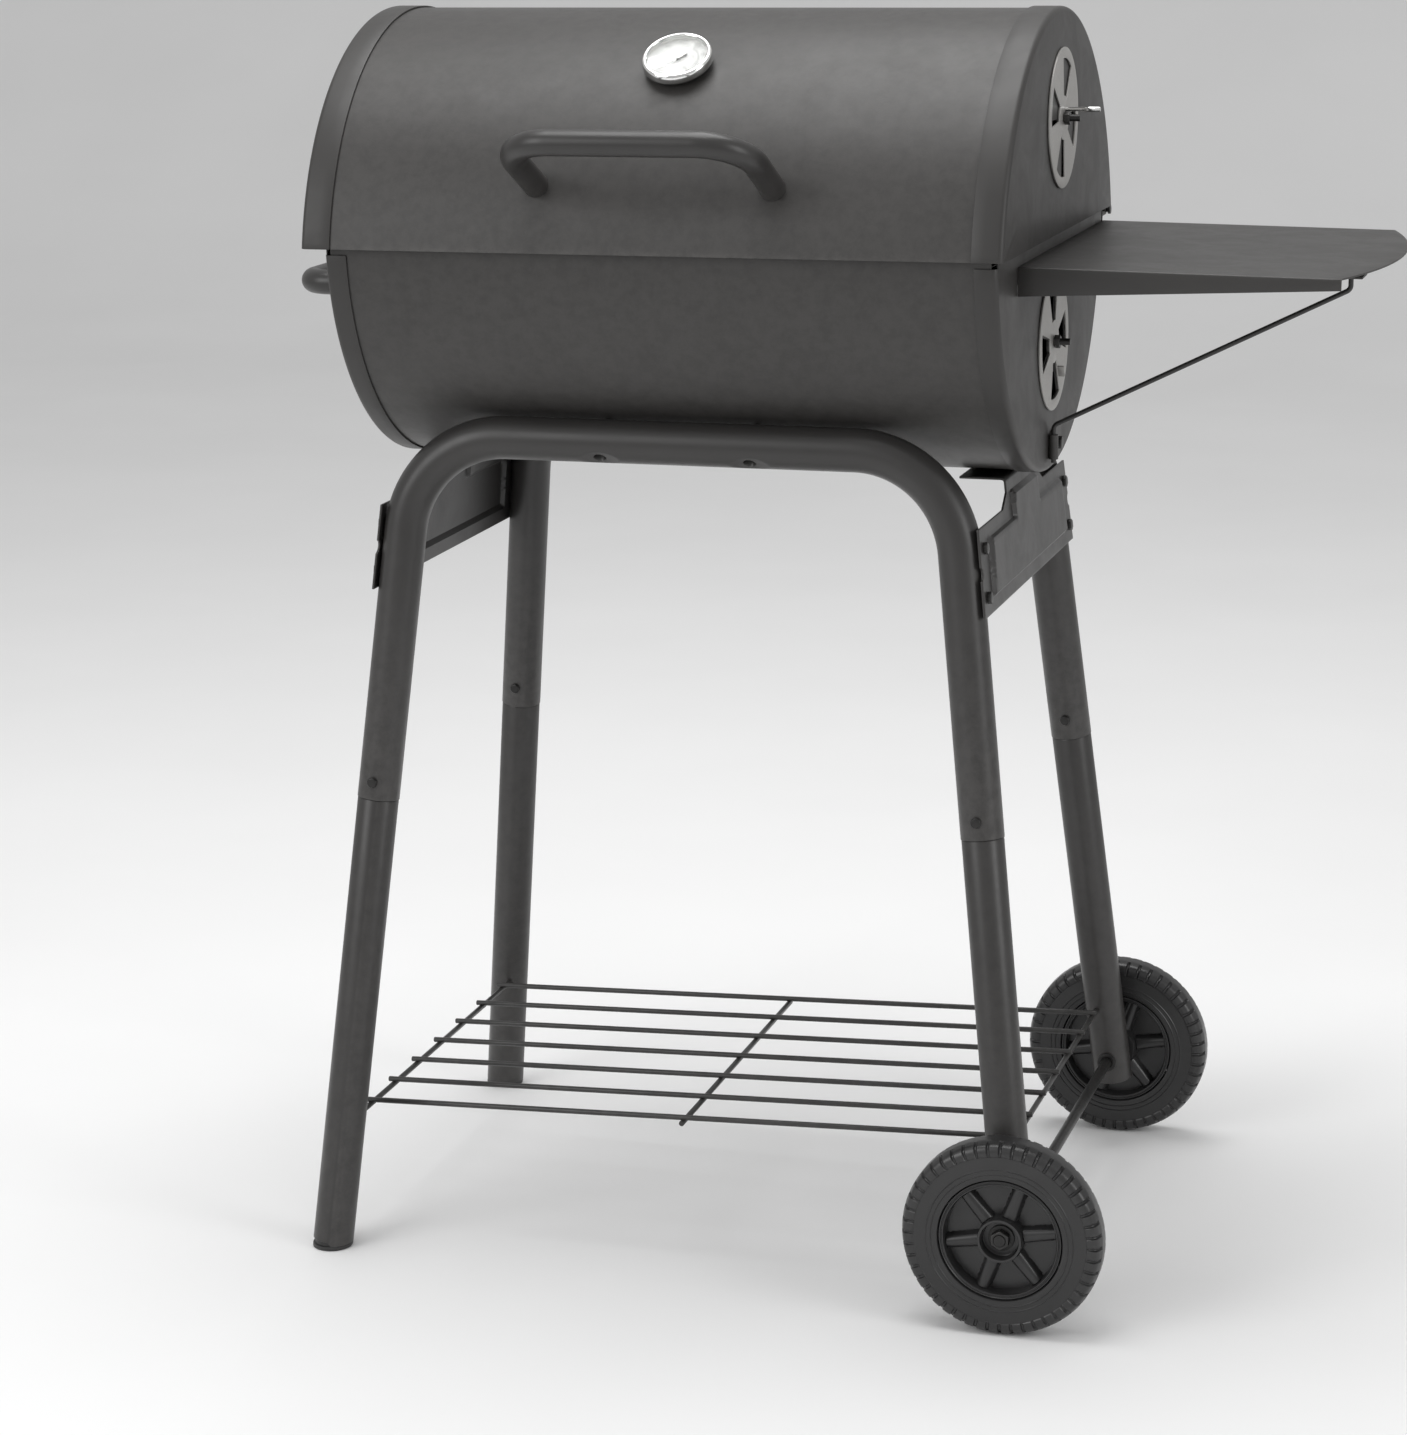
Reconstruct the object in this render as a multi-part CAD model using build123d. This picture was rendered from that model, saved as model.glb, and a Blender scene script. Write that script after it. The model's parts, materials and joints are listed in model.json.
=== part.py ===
from build123d import *
import math
import os

# Barrel charcoal grill on a tube stand: +X right along the barrel, -Y front, +Z up,
# millimetres, floor at z = 0. Lengths along X are drawn from the middle of the barrel, and
# save() shifts every piece so that the origin lies under the middle of the whole grill.

# ---------------------------------------------------------------- driving dimensions
SHEET = 1.5            # sheet steel of the drum, lid, caps and shelf
FIT = 0.2              # gap between pieces that are assembled to touch

FIREBOX_R = 222.0      # outside of the firebox cap flanges
FIREBOX_Z = 931.0      # height of the firebox arc centre
FIREBOX_HALF = 297.0   # barrel middle to the firebox cap faces
FIREBOX_FLANGE = 20.0  # width of the firebox cap flange
RIM_Z = 924.0          # top edge of the firebox

LID_R = 235.0          # outside of the lid cap flanges
LID_Z = 877.0          # height of the lid arc centre
LID_LEFT = 315.0       # barrel middle to the left lid cap face
LID_RIGHT = 304.0      # barrel middle to the right lid cap face
LID_FLANGE = 27.0      # width of the lid cap flange
LID_EDGE_Z = 918.0     # lower edge of the closed lid
CORNER = 5.0           # rounded corner of every pressed cap

TUBE_R = 19.0          # upper frame tube
LEG_R = 18.5           # lower leg tube
SPIGOT_R = 17.3        # swaged top of each lower leg
SPIGOT_LEN = 45.0
TUBE_WALL = 1.5
FOOT_X = 324.0         # leg axis at the floor
FOOT_Y = 230.0
BAR_X = 244.0          # where the leg axis line meets the top bar axis
BAR_Y = 156.2
BAR_Z = 747.0
FRAME_BEND = 95.0      # bend radius of the upper frames
JOINT_Z = 420.0        # where upper frame and lower leg meet
FRAME_BOLT_X = 68.0    # bolts from the top bar into the drum

WHEEL_R = 88.0
WHEEL_WIDTH = 34.0
WHEEL_Y = 260.0
WHEEL_RIM_R = 54.0
AXLE_R = 5.0
AXLE_Z = WHEEL_R

HANDLE_R = 11.0        # bent grip tubes on the lid and the left cap
HANDLE_HALF = 110.0    # half the distance between the side handle's feet
HANDLE_BEND = 22.0
GRIP_HALF = 104.5      # the same for the lid handle, whose bends are wide
GRIP_BEND = 43.0

DAMPER_R = 60.5
DAMPER_TOP_Z = 1017.0
DAMPER_LOW_Z = 822.5
DAMPER_SLOT_IN = 19.0
DAMPER_SLOT_OUT = 51.0
DAMPER_DISC_SLOT = 40.0    # angle of each opening in a disc, degrees
DAMPER_CAP_SLOT = 36.0     # angle of each opening in a cap, degrees
UPPER_CAP_TURN = 17.0      # middle of the first opening of the lid cap, degrees above +Y
UPPER_DISC_TURN = -15.0    # the upper damper stands nearly shut
LOWER_CAP_TURN = 6.0
LOWER_DISC_TURN = 6.0      # the lower damper stands open

SHELF_Z = 905.0        # top face of the side shelf
SHELF_IN = FIREBOX_HALF + 0.6
SHELF_OUT = 566.0      # where the curved outer end begins
SHELF_BULGE = 30.0
SHELF_FRONT = -144.0
SHELF_REAR = 222.0
SHELF_DEEP = 25.0      # flange height next to the barrel
SHELF_SHALLOW = 10.0   # flange height at the outer end
SHELF_DROOP = 0.9      # the shelf hangs this many degrees below level

RACK_Z = 130.6        # cross wire under the middle of the rack
RACK_RISE = 10.8       # how far each end cross wire stands above or below it
RACK_WIRE_R = 2.5
RACK_X = 304.0         # end cross wires of the rack
RACK_PITCH = 58.5      # spacing of the lengthwise wires

HINGE_Y = 241.0
HINGE_Z = 913.0
HINGE_IN = 258.0       # inner end of each hinge along the barrel
HINGE_OUT = 297.0
PIN_R = 2.5
RUN = 0.06             # radial running clearance of every moving bore

GAUGE_ANGLE = 55.0     # where the thermometer sits on the lid arc, degrees above level
GRIP_ANGLE = 24.6      # where the lid handle feet sit on the lid arc

# bent grip on the left end cap, and how far the whole grill reaches either side of the barrel
SIDE_REACH = 66.0      # cap face to grip axis
LEFT_REACH = FIREBOX_HALF + SIDE_REACH + HANDLE_R
RIGHT_REACH = SHELF_OUT + SHELF_BULGE
MIDDLE_X = (RIGHT_REACH - LEFT_REACH) / 2

# lid handle: direction and length of its legs, and how far the whole grill reaches front and rear
GRIP_RISE = 27.0       # the legs point this many degrees above level
GRIP_REACH = 94.0      # handle foot to grip axis on the lid
FRONT_REACH = (LID_R * math.cos(math.radians(GRIP_ANGLE)) + GRIP_REACH * math.cos(math.radians(GRIP_RISE))
               + HANDLE_R)
REAR_REACH = WHEEL_Y + WHEEL_WIDTH / 2
MIDDLE_Y = (REAR_REACH - FRONT_REACH) / 2

os.makedirs("parts", exist_ok=True)


def save(name, shape):
    """Writes one named piece, moved to the origin under the middle of the whole grill."""
    export_step(Pos(-MIDDLE_X, -MIDDLE_Y, 0) * shape, f"parts/{name}.step")


def rod(start, end, radius):
    """Round bar between two points."""
    way = Vector(*end) - Vector(*start)
    return extrude(Plane(origin=start, z_dir=way) * Circle(radius), way.length)


def pipe(start, end, radius, wall):
    """Round tube between two points, open at both ends."""
    return rod(start, end, radius) - rod(start, end, radius - wall)


def bent_rod(points, bend, radius):
    """Round bar along a line of points with rounded corners."""
    path = FilletPolyline(*points, radius=bend)
    return sweep(Plane(origin=path @ 0, z_dir=path % 0) * Circle(radius), path=path)


def bent_pipe(points, bend, radius, wall):
    """Round tube along a line of points with rounded corners."""
    return bent_rod(points, bend, radius) - bent_rod(points, bend, radius - wall)


def bolt(seat, way, shank_r, length, head_r, head_h):
    """Hexagon bolt: the head bears on the seat point and the shank runs along the way."""
    plane = Plane(origin=seat, z_dir=way)
    head = extrude(plane * RegularPolygon(head_r, 6), -head_h)
    return head + extrude(plane * Circle(shank_r), length)


def pan_screw(seat, way, shank_r, length, head_r, head_h):
    """Screw with a domed head that bears on the seat point."""
    plane = Plane(origin=seat, z_dir=way)
    head = extrude(plane * Circle(head_r), -head_h)
    circles = head.edges().filter_by(GeomType.CIRCLE)
    crown = max(circles, key=lambda edge: (edge.arc_center - Vector(*seat)).length)
    head = fillet(crown, head_h * 0.6)
    return head + extrude(plane * Circle(shank_r), length)


def nut(seat, way, bore_r, outer_r, height):
    """Hexagon nut that starts at the seat point and grows along the way."""
    plane = Plane(origin=seat, z_dir=way)
    return extrude(plane * (RegularPolygon(outer_r, 6) - Circle(bore_r)), height)


def washer(seat, way, bore_r, outer_r, height):
    """Flat ring that starts at the seat point and grows along the way."""
    plane = Plane(origin=seat, z_dir=way)
    return extrude(plane * (Circle(outer_r) - Circle(bore_r)), height)


def block(x0, x1, y0, y1, z0, z1):
    """Rectangular block between two corners."""
    middle = ((x0 + x1) / 2, (y0 + y1) / 2, (z0 + z1) / 2)
    return Pos(*middle) * Box(x1 - x0, y1 - y0, z1 - z0)


def pressed_cap(radius, depth, side, face_x, centre_z):
    """Round pressed pan whose flat face stands at face_x and whose flange points inwards."""
    outer = Cylinder(radius, depth)
    outer = fillet(outer.edges().sort_by(Axis.Z)[-1], CORNER)
    inner = Pos(0, 0, -SHEET) * Cylinder(radius - SHEET, depth)
    inner = fillet(inner.edges().sort_by(Axis.Z)[-1], CORNER - SHEET)
    pan = Rot(0, 90 * side, 0) * (outer - inner)
    return Pos(face_x - side * depth / 2, 0, centre_z) * pan


def rolled_sheet(radius, x0, x1, centre_z):
    """Thin round shell along X."""
    ring = Plane.YZ * (Circle(radius) - Circle(radius - SHEET))
    return Pos(x0, 0, centre_z) * extrude(ring, x1 - x0)


def slot_wheel(x0, x1, centre_z, width_deg, turn_deg, inner_r, outer_r):
    """Four wedge shaped openings round a centre, as one cutting body."""
    half = math.radians(width_deg / 2)
    cutter = None
    for quarter in range(4):
        mid = math.radians(turn_deg + 90 * quarter)
        rays = [(r * math.cos(mid + a), r * math.sin(mid + a))
                for r, a in ((inner_r, -half), (outer_r, -half), (outer_r, half), (inner_r, half))]
        bulge = (outer_r * math.cos(mid), outer_r * math.sin(mid))
        edge = Polyline(rays[3], rays[0], rays[1]) + ThreePointArc(rays[1], bulge, rays[2])
        face = make_face(edge + Line(rays[2], rays[3]))
        wedge = Pos(x0, 0, centre_z) * extrude(Plane.YZ * face, x1 - x0)
        cutter = wedge if cutter is None else cutter + wedge
    return cutter


def leg_point(side, row, z):
    """Point on a leg axis: side -1 left or 1 right, row -1 front or 1 rear."""
    part = z / BAR_Z
    return (side * (FOOT_X + (BAR_X - FOOT_X) * part), row * (FOOT_Y + (BAR_Y - FOOT_Y) * part), z)


def lid_frame(angle, lift, x=0.0):
    """Plane on the lid arc at an angle above level, its normal pointing out of the lid."""
    a = math.radians(angle)
    out = (0, -math.cos(a), math.sin(a))
    reach = LID_R + lift
    return Plane(origin=(x, out[1] * reach, LID_Z + out[2] * reach), x_dir=(1, 0, 0), z_dir=out)


# ---------------------------------------------------------------- holes shared by pieces
WALL_X = 60.0          # long enough for a cutter to pass one sheet
M6_R = 3.0
HOLE_R = 3.4
HEAD_R = 6.4
HEAD_H = 4.0
SEAT_R = 5.4           # opening under each top bar that lets the drum bolt in
SEAT_HEAD_R = 4.8
SEAT_UP = 16.6         # bar axis to the seat of that bolt's head, inside the tube
NUT_H = 5.0
SHELL_R = FIREBOX_R - SHEET - FIT
LID_SHELL_R = LID_R - SHEET - FIT
FRAME_WAY = {row: Vector(0, -row * BAR_Y, FIREBOX_Z - BAR_Z).normalized() for row in (-1, 1)}
SIDE_HANDLE_Z = 874.0
SHELF_BOLTS_Y = (-110.0, 39.0, 188.0)
SHELF_BOLT_Z = 897.0
TAB_BOLT_X = 250.0     # bolt under the drum through each side bracket tab
BRACE_BOLT_Y = 18.0
BRACE_BOLT_Z = 730.0
HINGE_LOW_BOLT_DEG = 9.0     # below level on the firebox arc
HINGE_TOP_BOLT_DEG = 15.5    # above level on the lid arc
HINGE_BOLT_XS = (HINGE_IN + 9.0, HINGE_OUT - 9.0)
HINGE_BOLT_R = 2.0
DAMPER_BOLT_R = 3.0


def firebox_radial(angle_below, radius, x):
    """Point on the rear of the firebox arc, an angle below level."""
    a = math.radians(angle_below)
    return (x, radius * math.cos(a), FIREBOX_Z - radius * math.sin(a))


def lid_radial(angle_above, radius, x):
    """Point on the rear of the lid arc, an angle above level."""
    a = math.radians(angle_above)
    return (x, radius * math.cos(a), LID_Z + radius * math.sin(a))


hinge_low_holes = []
hinge_top_holes = []
for side in (-1, 1):
    for x in HINGE_BOLT_XS:
        low = [firebox_radial(HINGE_LOW_BOLT_DEG, r, side * x) for r in (210, 235)]
        top = [lid_radial(HINGE_TOP_BOLT_DEG, r, side * x) for r in (222, 248)]
        hinge_low_holes.append(rod(*low, HINGE_BOLT_R + FIT))
        hinge_top_holes.append(rod(*top, HINGE_BOLT_R + FIT))

# ---------------------------------------------------------------- firebox
below_rim = block(-400, 400, -300, 300, 600, RIM_Z)
shell_half = FIREBOX_HALF - CORNER - FIT
shell = rolled_sheet(SHELL_R, -shell_half, shell_half, FIREBOX_Z)
shell = shell & below_rim
for row in (-1, 1):
    for x in (-FRAME_BOLT_X, FRAME_BOLT_X):
        start = Vector(x, row * BAR_Y, BAR_Z)
        shell -= rod(start, start + FRAME_WAY[row] * 40, HOLE_R)
for x in (-TAB_BOLT_X, TAB_BOLT_X):
    shell -= rod((x, 0, 690), (x, 0, 730), HOLE_R)
for hole in hinge_low_holes:
    shell -= hole
save("firebox_shell", shell)

cap = pressed_cap(FIREBOX_R, FIREBOX_FLANGE, -1, -FIREBOX_HALF, FIREBOX_Z) & below_rim
for y in (-HANDLE_HALF, HANDLE_HALF):
    cap -= rod((-320, y, SIDE_HANDLE_Z), (-280, y, SIDE_HANDLE_Z), HOLE_R)
for hole in hinge_low_holes:
    cap -= hole
save("firebox_cap_left", cap)

cap = pressed_cap(FIREBOX_R, FIREBOX_FLANGE, 1, FIREBOX_HALF, FIREBOX_Z) & below_rim
cap -= slot_wheel(280, 310, DAMPER_LOW_Z, DAMPER_CAP_SLOT, LOWER_CAP_TURN, DAMPER_SLOT_IN, DAMPER_SLOT_OUT)
cap -= rod((280, 0, DAMPER_LOW_Z), (310, 0, DAMPER_LOW_Z), DAMPER_BOLT_R + FIT)
for y in SHELF_BOLTS_Y:
    cap -= rod((280, y, SHELF_BOLT_Z), (310, y, SHELF_BOLT_Z), HOLE_R)
cap -= rod((280, BRACE_BOLT_Y, BRACE_BOLT_Z), (310, BRACE_BOLT_Y, BRACE_BOLT_Z), HOLE_R)
for hole in hinge_low_holes:
    cap -= hole
save("firebox_cap_right", cap)

# ---------------------------------------------------------------- lid
above_edge = block(-400, 400, -300, 300, LID_EDGE_Z, 1300)
grip_plane = {x: lid_frame(GRIP_ANGLE, 0, x) for x in (-GRIP_HALF, GRIP_HALF)}
GRIP_WAY = Vector(0, -math.cos(math.radians(GRIP_RISE)), math.sin(math.radians(GRIP_RISE)))
gauge = lid_frame(GAUGE_ANGLE, 0)

lid = rolled_sheet(LID_SHELL_R, -LID_LEFT + CORNER + FIT, LID_RIGHT - CORNER - FIT, LID_Z)
lid = lid & above_edge
for x, plane in grip_plane.items():
    middle = plane.origin
    lid -= rod(middle - GRIP_WAY * 15, middle + GRIP_WAY * 10, HOLE_R)
lid -= extrude(gauge * Circle(HOLE_R), -10)
for hole in hinge_top_holes:
    lid -= hole
save("lid_shell", lid)

cap = pressed_cap(LID_R, LID_FLANGE, -1, -LID_LEFT, LID_Z) & above_edge
for hole in hinge_top_holes:
    cap -= hole
save("lid_cap_left", cap)

cap = pressed_cap(LID_R, LID_FLANGE, 1, LID_RIGHT, LID_Z) & above_edge
cap -= slot_wheel(285, 320, DAMPER_TOP_Z, DAMPER_CAP_SLOT, UPPER_CAP_TURN, DAMPER_SLOT_IN, DAMPER_SLOT_OUT)
cap -= rod((285, 0, DAMPER_TOP_Z), (320, 0, DAMPER_TOP_Z), DAMPER_BOLT_R + FIT)
for hole in hinge_top_holes:
    cap -= hole
save("lid_cap_right", cap)

# ---------------------------------------------------------------- handles
PLUG = 12.0            # solid end inside each handle foot
SCREW_LEN = 14.0

feet = [Vector(x, *tuple(grip_plane[x].origin)[1:]) for x in (-GRIP_HALF, GRIP_HALF)]
route = [feet[0] - GRIP_WAY * 15, feet[0] + GRIP_WAY * GRIP_REACH,
         feet[1] + GRIP_WAY * GRIP_REACH, feet[1] - GRIP_WAY * 15]
grip = bent_pipe(route, GRIP_BEND, HANDLE_R, SHEET)
for foot in feet:
    grip += rod(foot - GRIP_WAY * 15, foot + GRIP_WAY * PLUG, HANDLE_R - 0.5)
lid_body = Pos(0, 0, LID_Z) * (Rot(0, 90, 0) * Cylinder(LID_SHELL_R + FIT, 500))
grip -= lid_body
for foot in feet:
    grip -= rod(foot - GRIP_WAY * 15, foot + GRIP_WAY * (PLUG - 3), M6_R + 0.05)
save("lid_handle", grip)

screws = []
for foot in feet:
    inside = foot - GRIP_WAY * 3.7
    screws.append(bolt(inside, GRIP_WAY, M6_R, SCREW_LEN - 3, HEAD_R, HEAD_H))
save("lid_handle_screws", Compound(screws))

ends = [(-FIREBOX_HALF - FIT, y, SIDE_HANDLE_Z) for y in (-HANDLE_HALF, HANDLE_HALF)]
outer = [(-FIREBOX_HALF - SIDE_REACH, y, SIDE_HANDLE_Z) for y in (-HANDLE_HALF, HANDLE_HALF)]
grip = bent_pipe([ends[0], outer[0], outer[1], ends[1]], HANDLE_BEND, HANDLE_R, SHEET)
for x, y, z in ends:
    grip += rod((x, y, z), (x - PLUG, y, z), HANDLE_R - 0.5)
    grip -= rod((x, y, z), (x - PLUG + 3, y, z), M6_R + 0.05)
save("side_handle", grip)

screws = []
for y in (-HANDLE_HALF, HANDLE_HALF):
    seat = (-FIREBOX_HALF + SHEET + FIT, y, SIDE_HANDLE_Z)
    screws.append(bolt(seat, (-1, 0, 0), M6_R, SCREW_LEN - 4, HEAD_R, HEAD_H))
save("side_handle_screws", Compound(screws))

# ---------------------------------------------------------------- thermometer
BEZEL_R = 30.5
GLASS_R = 28.0
CASE_R = 26.5
STEM_R = 3.0
STEM_LEN = 70.0
SHAFT_R = 1.0
NEEDLE_TIP = 20.0
NEEDLE_TAIL = 9.0
NEEDLE_REST = 216.0    # direction of the needle on the dial, degrees


def gauge_ring(outer_r, inner_r, low, high):
    """Ring on the thermometer axis between two heights above the lid."""
    face = Circle(outer_r) - Circle(inner_r) if inner_r else Circle(outer_r)
    return extrude(lid_frame(GAUGE_ANGLE, low) * face, high - low)


save("thermometer_case", gauge_ring(CASE_R, STEM_R + 0.1, 0.4, 4.4))
bezel = gauge_ring(BEZEL_R, CASE_R + FIT, 3.0, 4.4)
bezel += gauge_ring(BEZEL_R, GLASS_R + FIT, 4.4, 11.0)
bezel += gauge_ring(BEZEL_R, CASE_R, 11.0, 12.0)
top_edge = [e for e in bezel.edges().filter_by(GeomType.CIRCLE) if abs(e.radius - BEZEL_R) < 0.01]
top_edge = max(top_edge, key=lambda e: e.center().Z)
save("thermometer_bezel", fillet(top_edge, 1.8))
save("thermometer_dial", gauge_ring(GLASS_R, SHAFT_R + 0.4, 4.6, 5.4))
save("thermometer_lens", gauge_ring(GLASS_R, 0, 9.7, 10.8))
stem = gauge_ring(STEM_R, 0, -STEM_LEN, 4.4) + gauge_ring(SHAFT_R, 0, 4.4, 8.4)
save("thermometer_stem", stem)
inner_face = SHEET * 2 + FIT * 2
save("thermometer_nut", nut(gauge.origin - gauge.z_dir * inner_face, -gauge.z_dir, STEM_R + 0.05, 6.0, 5.0))

needle_plane = lid_frame(GAUGE_ANGLE, 6.4)
needle = Polygon((-NEEDLE_TAIL, -1.2), (0, -0.8), (NEEDLE_TIP, -0.2), (NEEDLE_TIP, 0.2),
                 (0, 0.8), (-NEEDLE_TAIL, 1.2), align=None)
needle = needle + Circle(2.4)
needle = Rot(0, 0, NEEDLE_REST) * needle - Circle(SHAFT_R + RUN)
save("thermometer_pointer", extrude(needle_plane * needle, 0.8))

# ---------------------------------------------------------------- dampers
DISC_T = 1.5
DISC_GAP = 0.4
KNOB_R = 2.2
KNOB_Y = 4.0           # knob rod beside and above the disc centre
KNOB_UP = 7.2
KNOB_LEN = 31.0
TAB_IN = 27.0          # radial start of the folded tab of the lower disc
TAB_OUT = 38.0
TAB_STAND = 6.0
DAMPER_NUT_R = 6.0


def damper_disc(face_x, centre_z, turn):
    """Slotted disc that stands just clear of a cap face."""
    x0 = face_x + DISC_GAP
    disc = rod((x0, 0, centre_z), (x0 + DISC_T, 0, centre_z), DAMPER_R)
    disc -= slot_wheel(x0 - 2, x0 + 4, centre_z, DAMPER_DISC_SLOT, turn, DAMPER_SLOT_IN, DAMPER_SLOT_OUT)
    return disc - rod((x0 - 2, 0, centre_z), (x0 + 4, 0, centre_z), DAMPER_BOLT_R + RUN)


for name, face_x, z, turn in (("upper", LID_RIGHT, DAMPER_TOP_Z, UPPER_DISC_TURN),
                              ("lower", FIREBOX_HALF, DAMPER_LOW_Z, LOWER_DISC_TURN)):
    disc = damper_disc(face_x, z, turn)
    outside = face_x + DISC_GAP + DISC_T
    if name == "lower":
        lug = block(outside - 0.5, outside + TAB_STAND, -0.75, 0.75, -TAB_OUT, -TAB_IN)
        lug_turn = DAMPER_DISC_SLOT / 2 + turn + 3
        disc += Pos(0, 0, z) * (Rot(lug_turn, 0, 0) * lug)
    save(f"{name}_damper_disc", disc)
    back = face_x - SHEET - 0.3
    pin = bolt((back, 0, z), (1, 0, 0), DAMPER_BOLT_R, 18, DAMPER_NUT_R, HEAD_H)
    save(f"{name}_damper_bolt", pin)
    seat = (outside + DISC_GAP, 0, z)
    save(f"{name}_damper_nut", nut(seat, (1, 0, 0), DAMPER_BOLT_R + 0.05, DAMPER_NUT_R, NUT_H))

knob_x = LID_RIGHT + DISC_GAP + DISC_T
knob_z = DAMPER_TOP_Z + KNOB_UP
save("upper_damper_handle", rod((knob_x, KNOB_Y, knob_z), (knob_x + KNOB_LEN, KNOB_Y, knob_z), KNOB_R))

# ---------------------------------------------------------------- hinges
LEAF_T = 2.0
KNUCKLE_R = 4.5
KNUCKLES = 3
LEAF_GAP = 0.3
LOW_LEAF_DEG = (4.2, 14.0)
TOP_LEAF_DEG = (10.6, 21.0)


def arc_strip(centre_z, radius, deg0, deg1, x0, x1):
    """Rolled strip between two angles above level on the rear of an arc."""
    ring = Circle(radius + LEAF_T) - Circle(radius)
    reach = 400
    a, b = math.radians(deg0), math.radians(deg1)
    wedge = Polygon((0, 0), (reach * math.cos(a), reach * math.sin(a)),
                    (reach * math.cos(b), reach * math.sin(b)), align=None)
    return Pos(x0, 0, centre_z) * extrude(Plane.YZ * (ring & wedge), x1 - x0)


step = (HINGE_OUT - HINGE_IN) / KNUCKLES
low_leaves, top_leaves, pins, low_bolts, top_bolts = [], [], [], [], []
for side in (-1, 1):
    x0, x1 = sorted((side * HINGE_IN, side * HINGE_OUT))
    low = arc_strip(FIREBOX_Z, FIREBOX_R + LEAF_GAP, -LOW_LEAF_DEG[1], -LOW_LEAF_DEG[0], x0, x1)
    top = arc_strip(LID_Z, LID_R + LEAF_GAP, TOP_LEAF_DEG[0], TOP_LEAF_DEG[1], x0, x1)
    for k in range(KNUCKLES):
        a = x0 + k * step + 0.3
        b = x0 + (k + 1) * step - 0.3
        barrel = rod((a, HINGE_Y, HINGE_Z), (b, HINGE_Y, HINGE_Z), KNUCKLE_R)
        if k % 2 == 0:
            low += barrel + block(a, b, FIREBOX_R + 1, HINGE_Y, HINGE_Z - KNUCKLE_R, HINGE_Z - 1.5)
        else:
            top += barrel + block(a, b, LID_R - 1.8, HINGE_Y, HINGE_Z + 1.5, HINGE_Z + 8.5)
    bore = rod((x0 - 5, HINGE_Y, HINGE_Z), (x1 + 5, HINGE_Y, HINGE_Z), PIN_R + RUN)
    low -= bore
    top -= bore
    top -= lid_body
    for hole in hinge_low_holes:
        low -= hole
    for hole in hinge_top_holes:
        top -= hole
    low_leaves.append(low)
    top_leaves.append(top)
    pin = rod((x0 - 1.5, HINGE_Y, HINGE_Z), (x1 + 1.5, HINGE_Y, HINGE_Z), PIN_R)
    for end, way in ((x0 - 1.5, -1), (x1 + 1.5, 1)):
        pin += rod((end, HINGE_Y, HINGE_Z), (end + way * 2.5, HINGE_Y, HINGE_Z), PIN_R + 1.8)
    pins.append(pin)
    for x in HINGE_BOLT_XS:
        seat = firebox_radial(HINGE_LOW_BOLT_DEG, FIREBOX_R + LEAF_GAP + LEAF_T + 0.1, side * x)
        way = Vector(*firebox_radial(HINGE_LOW_BOLT_DEG, 0, side * x)) - Vector(*seat)
        low_bolts.append(pan_screw(seat, way, HINGE_BOLT_R, 11, 4.2, 2.6))
        seat = lid_radial(HINGE_TOP_BOLT_DEG, LID_R + LEAF_GAP + LEAF_T + 0.1, side * x)
        way = Vector(*lid_radial(HINGE_TOP_BOLT_DEG, 0, side * x)) - Vector(*seat)
        top_bolts.append(pan_screw(seat, way, HINGE_BOLT_R, 11, 4.2, 2.6))
save("hinge_lower_leaves", Compound(low_leaves))
save("hinge_upper_leaves", Compound(top_leaves))
save("hinge_pins", Compound(pins))
save("hinge_lower_screws", Compound(low_bolts))
save("hinge_upper_screws", Compound(top_bolts))

# ---------------------------------------------------------------- stand
SCREW_R = 2.5
SCREW_UP = 18.0        # leg screw above the joint
PLUG_T = 4.0           # thickness of the plastic foot under each left leg
RIGHT_LEG_END_Z = AXLE_Z - 22.0
AXLE_X = leg_point(1, 1, AXLE_Z)[0]


def leg_screw_holes(row):
    """Cutters for the two screws that pin one frame to its lower legs."""
    cutters = []
    for side in (-1, 1):
        x, y, z = leg_point(side, row, JOINT_Z + SCREW_UP)
        cutters.append(rod((x, y - TUBE_R - 5, z), (x, y, z), SCREW_R + 0.1))
    return cutters


PLATE_WAY = Vector(BAR_Z, 0, FOOT_X - BAR_X).normalized()
PLATE_LIFT = TUBE_R + FIT
PLATE_T = 2.0
PLATE_RISE = 4.0       # how far the pressed middle stands out
PLATE_Z = 650.0        # height of the plate's reference line
PLATE_LOW = -42.0
PLATE_HIGH = 34.0
EAR_OUT = 14.0
EAR_BOLTS_V = (-26.0, 16.0)
NICK_V = -4.0          # rounded nick between the two bolts of an ear
NICK_R = 6.0
PLATE_BOLT_R = 3.0
EDGE_FOLD = 14.0       # flat border round the pressed middle


def plate_plane(lift):
    """Plane of the right side bracket: u along Y, v up the leaning legs."""
    x, _, z = leg_point(1, 1, PLATE_Z)
    origin = Vector(x, 0, z) + PLATE_WAY * (PLATE_LIFT + lift)
    return Plane(origin=origin, x_dir=(0, 1, 0), z_dir=PLATE_WAY)


def plate_leg_y(v):
    """Half distance between the leg axes at a height v on the plate."""
    return leg_point(1, 1, PLATE_Z + v)[1]


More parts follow.
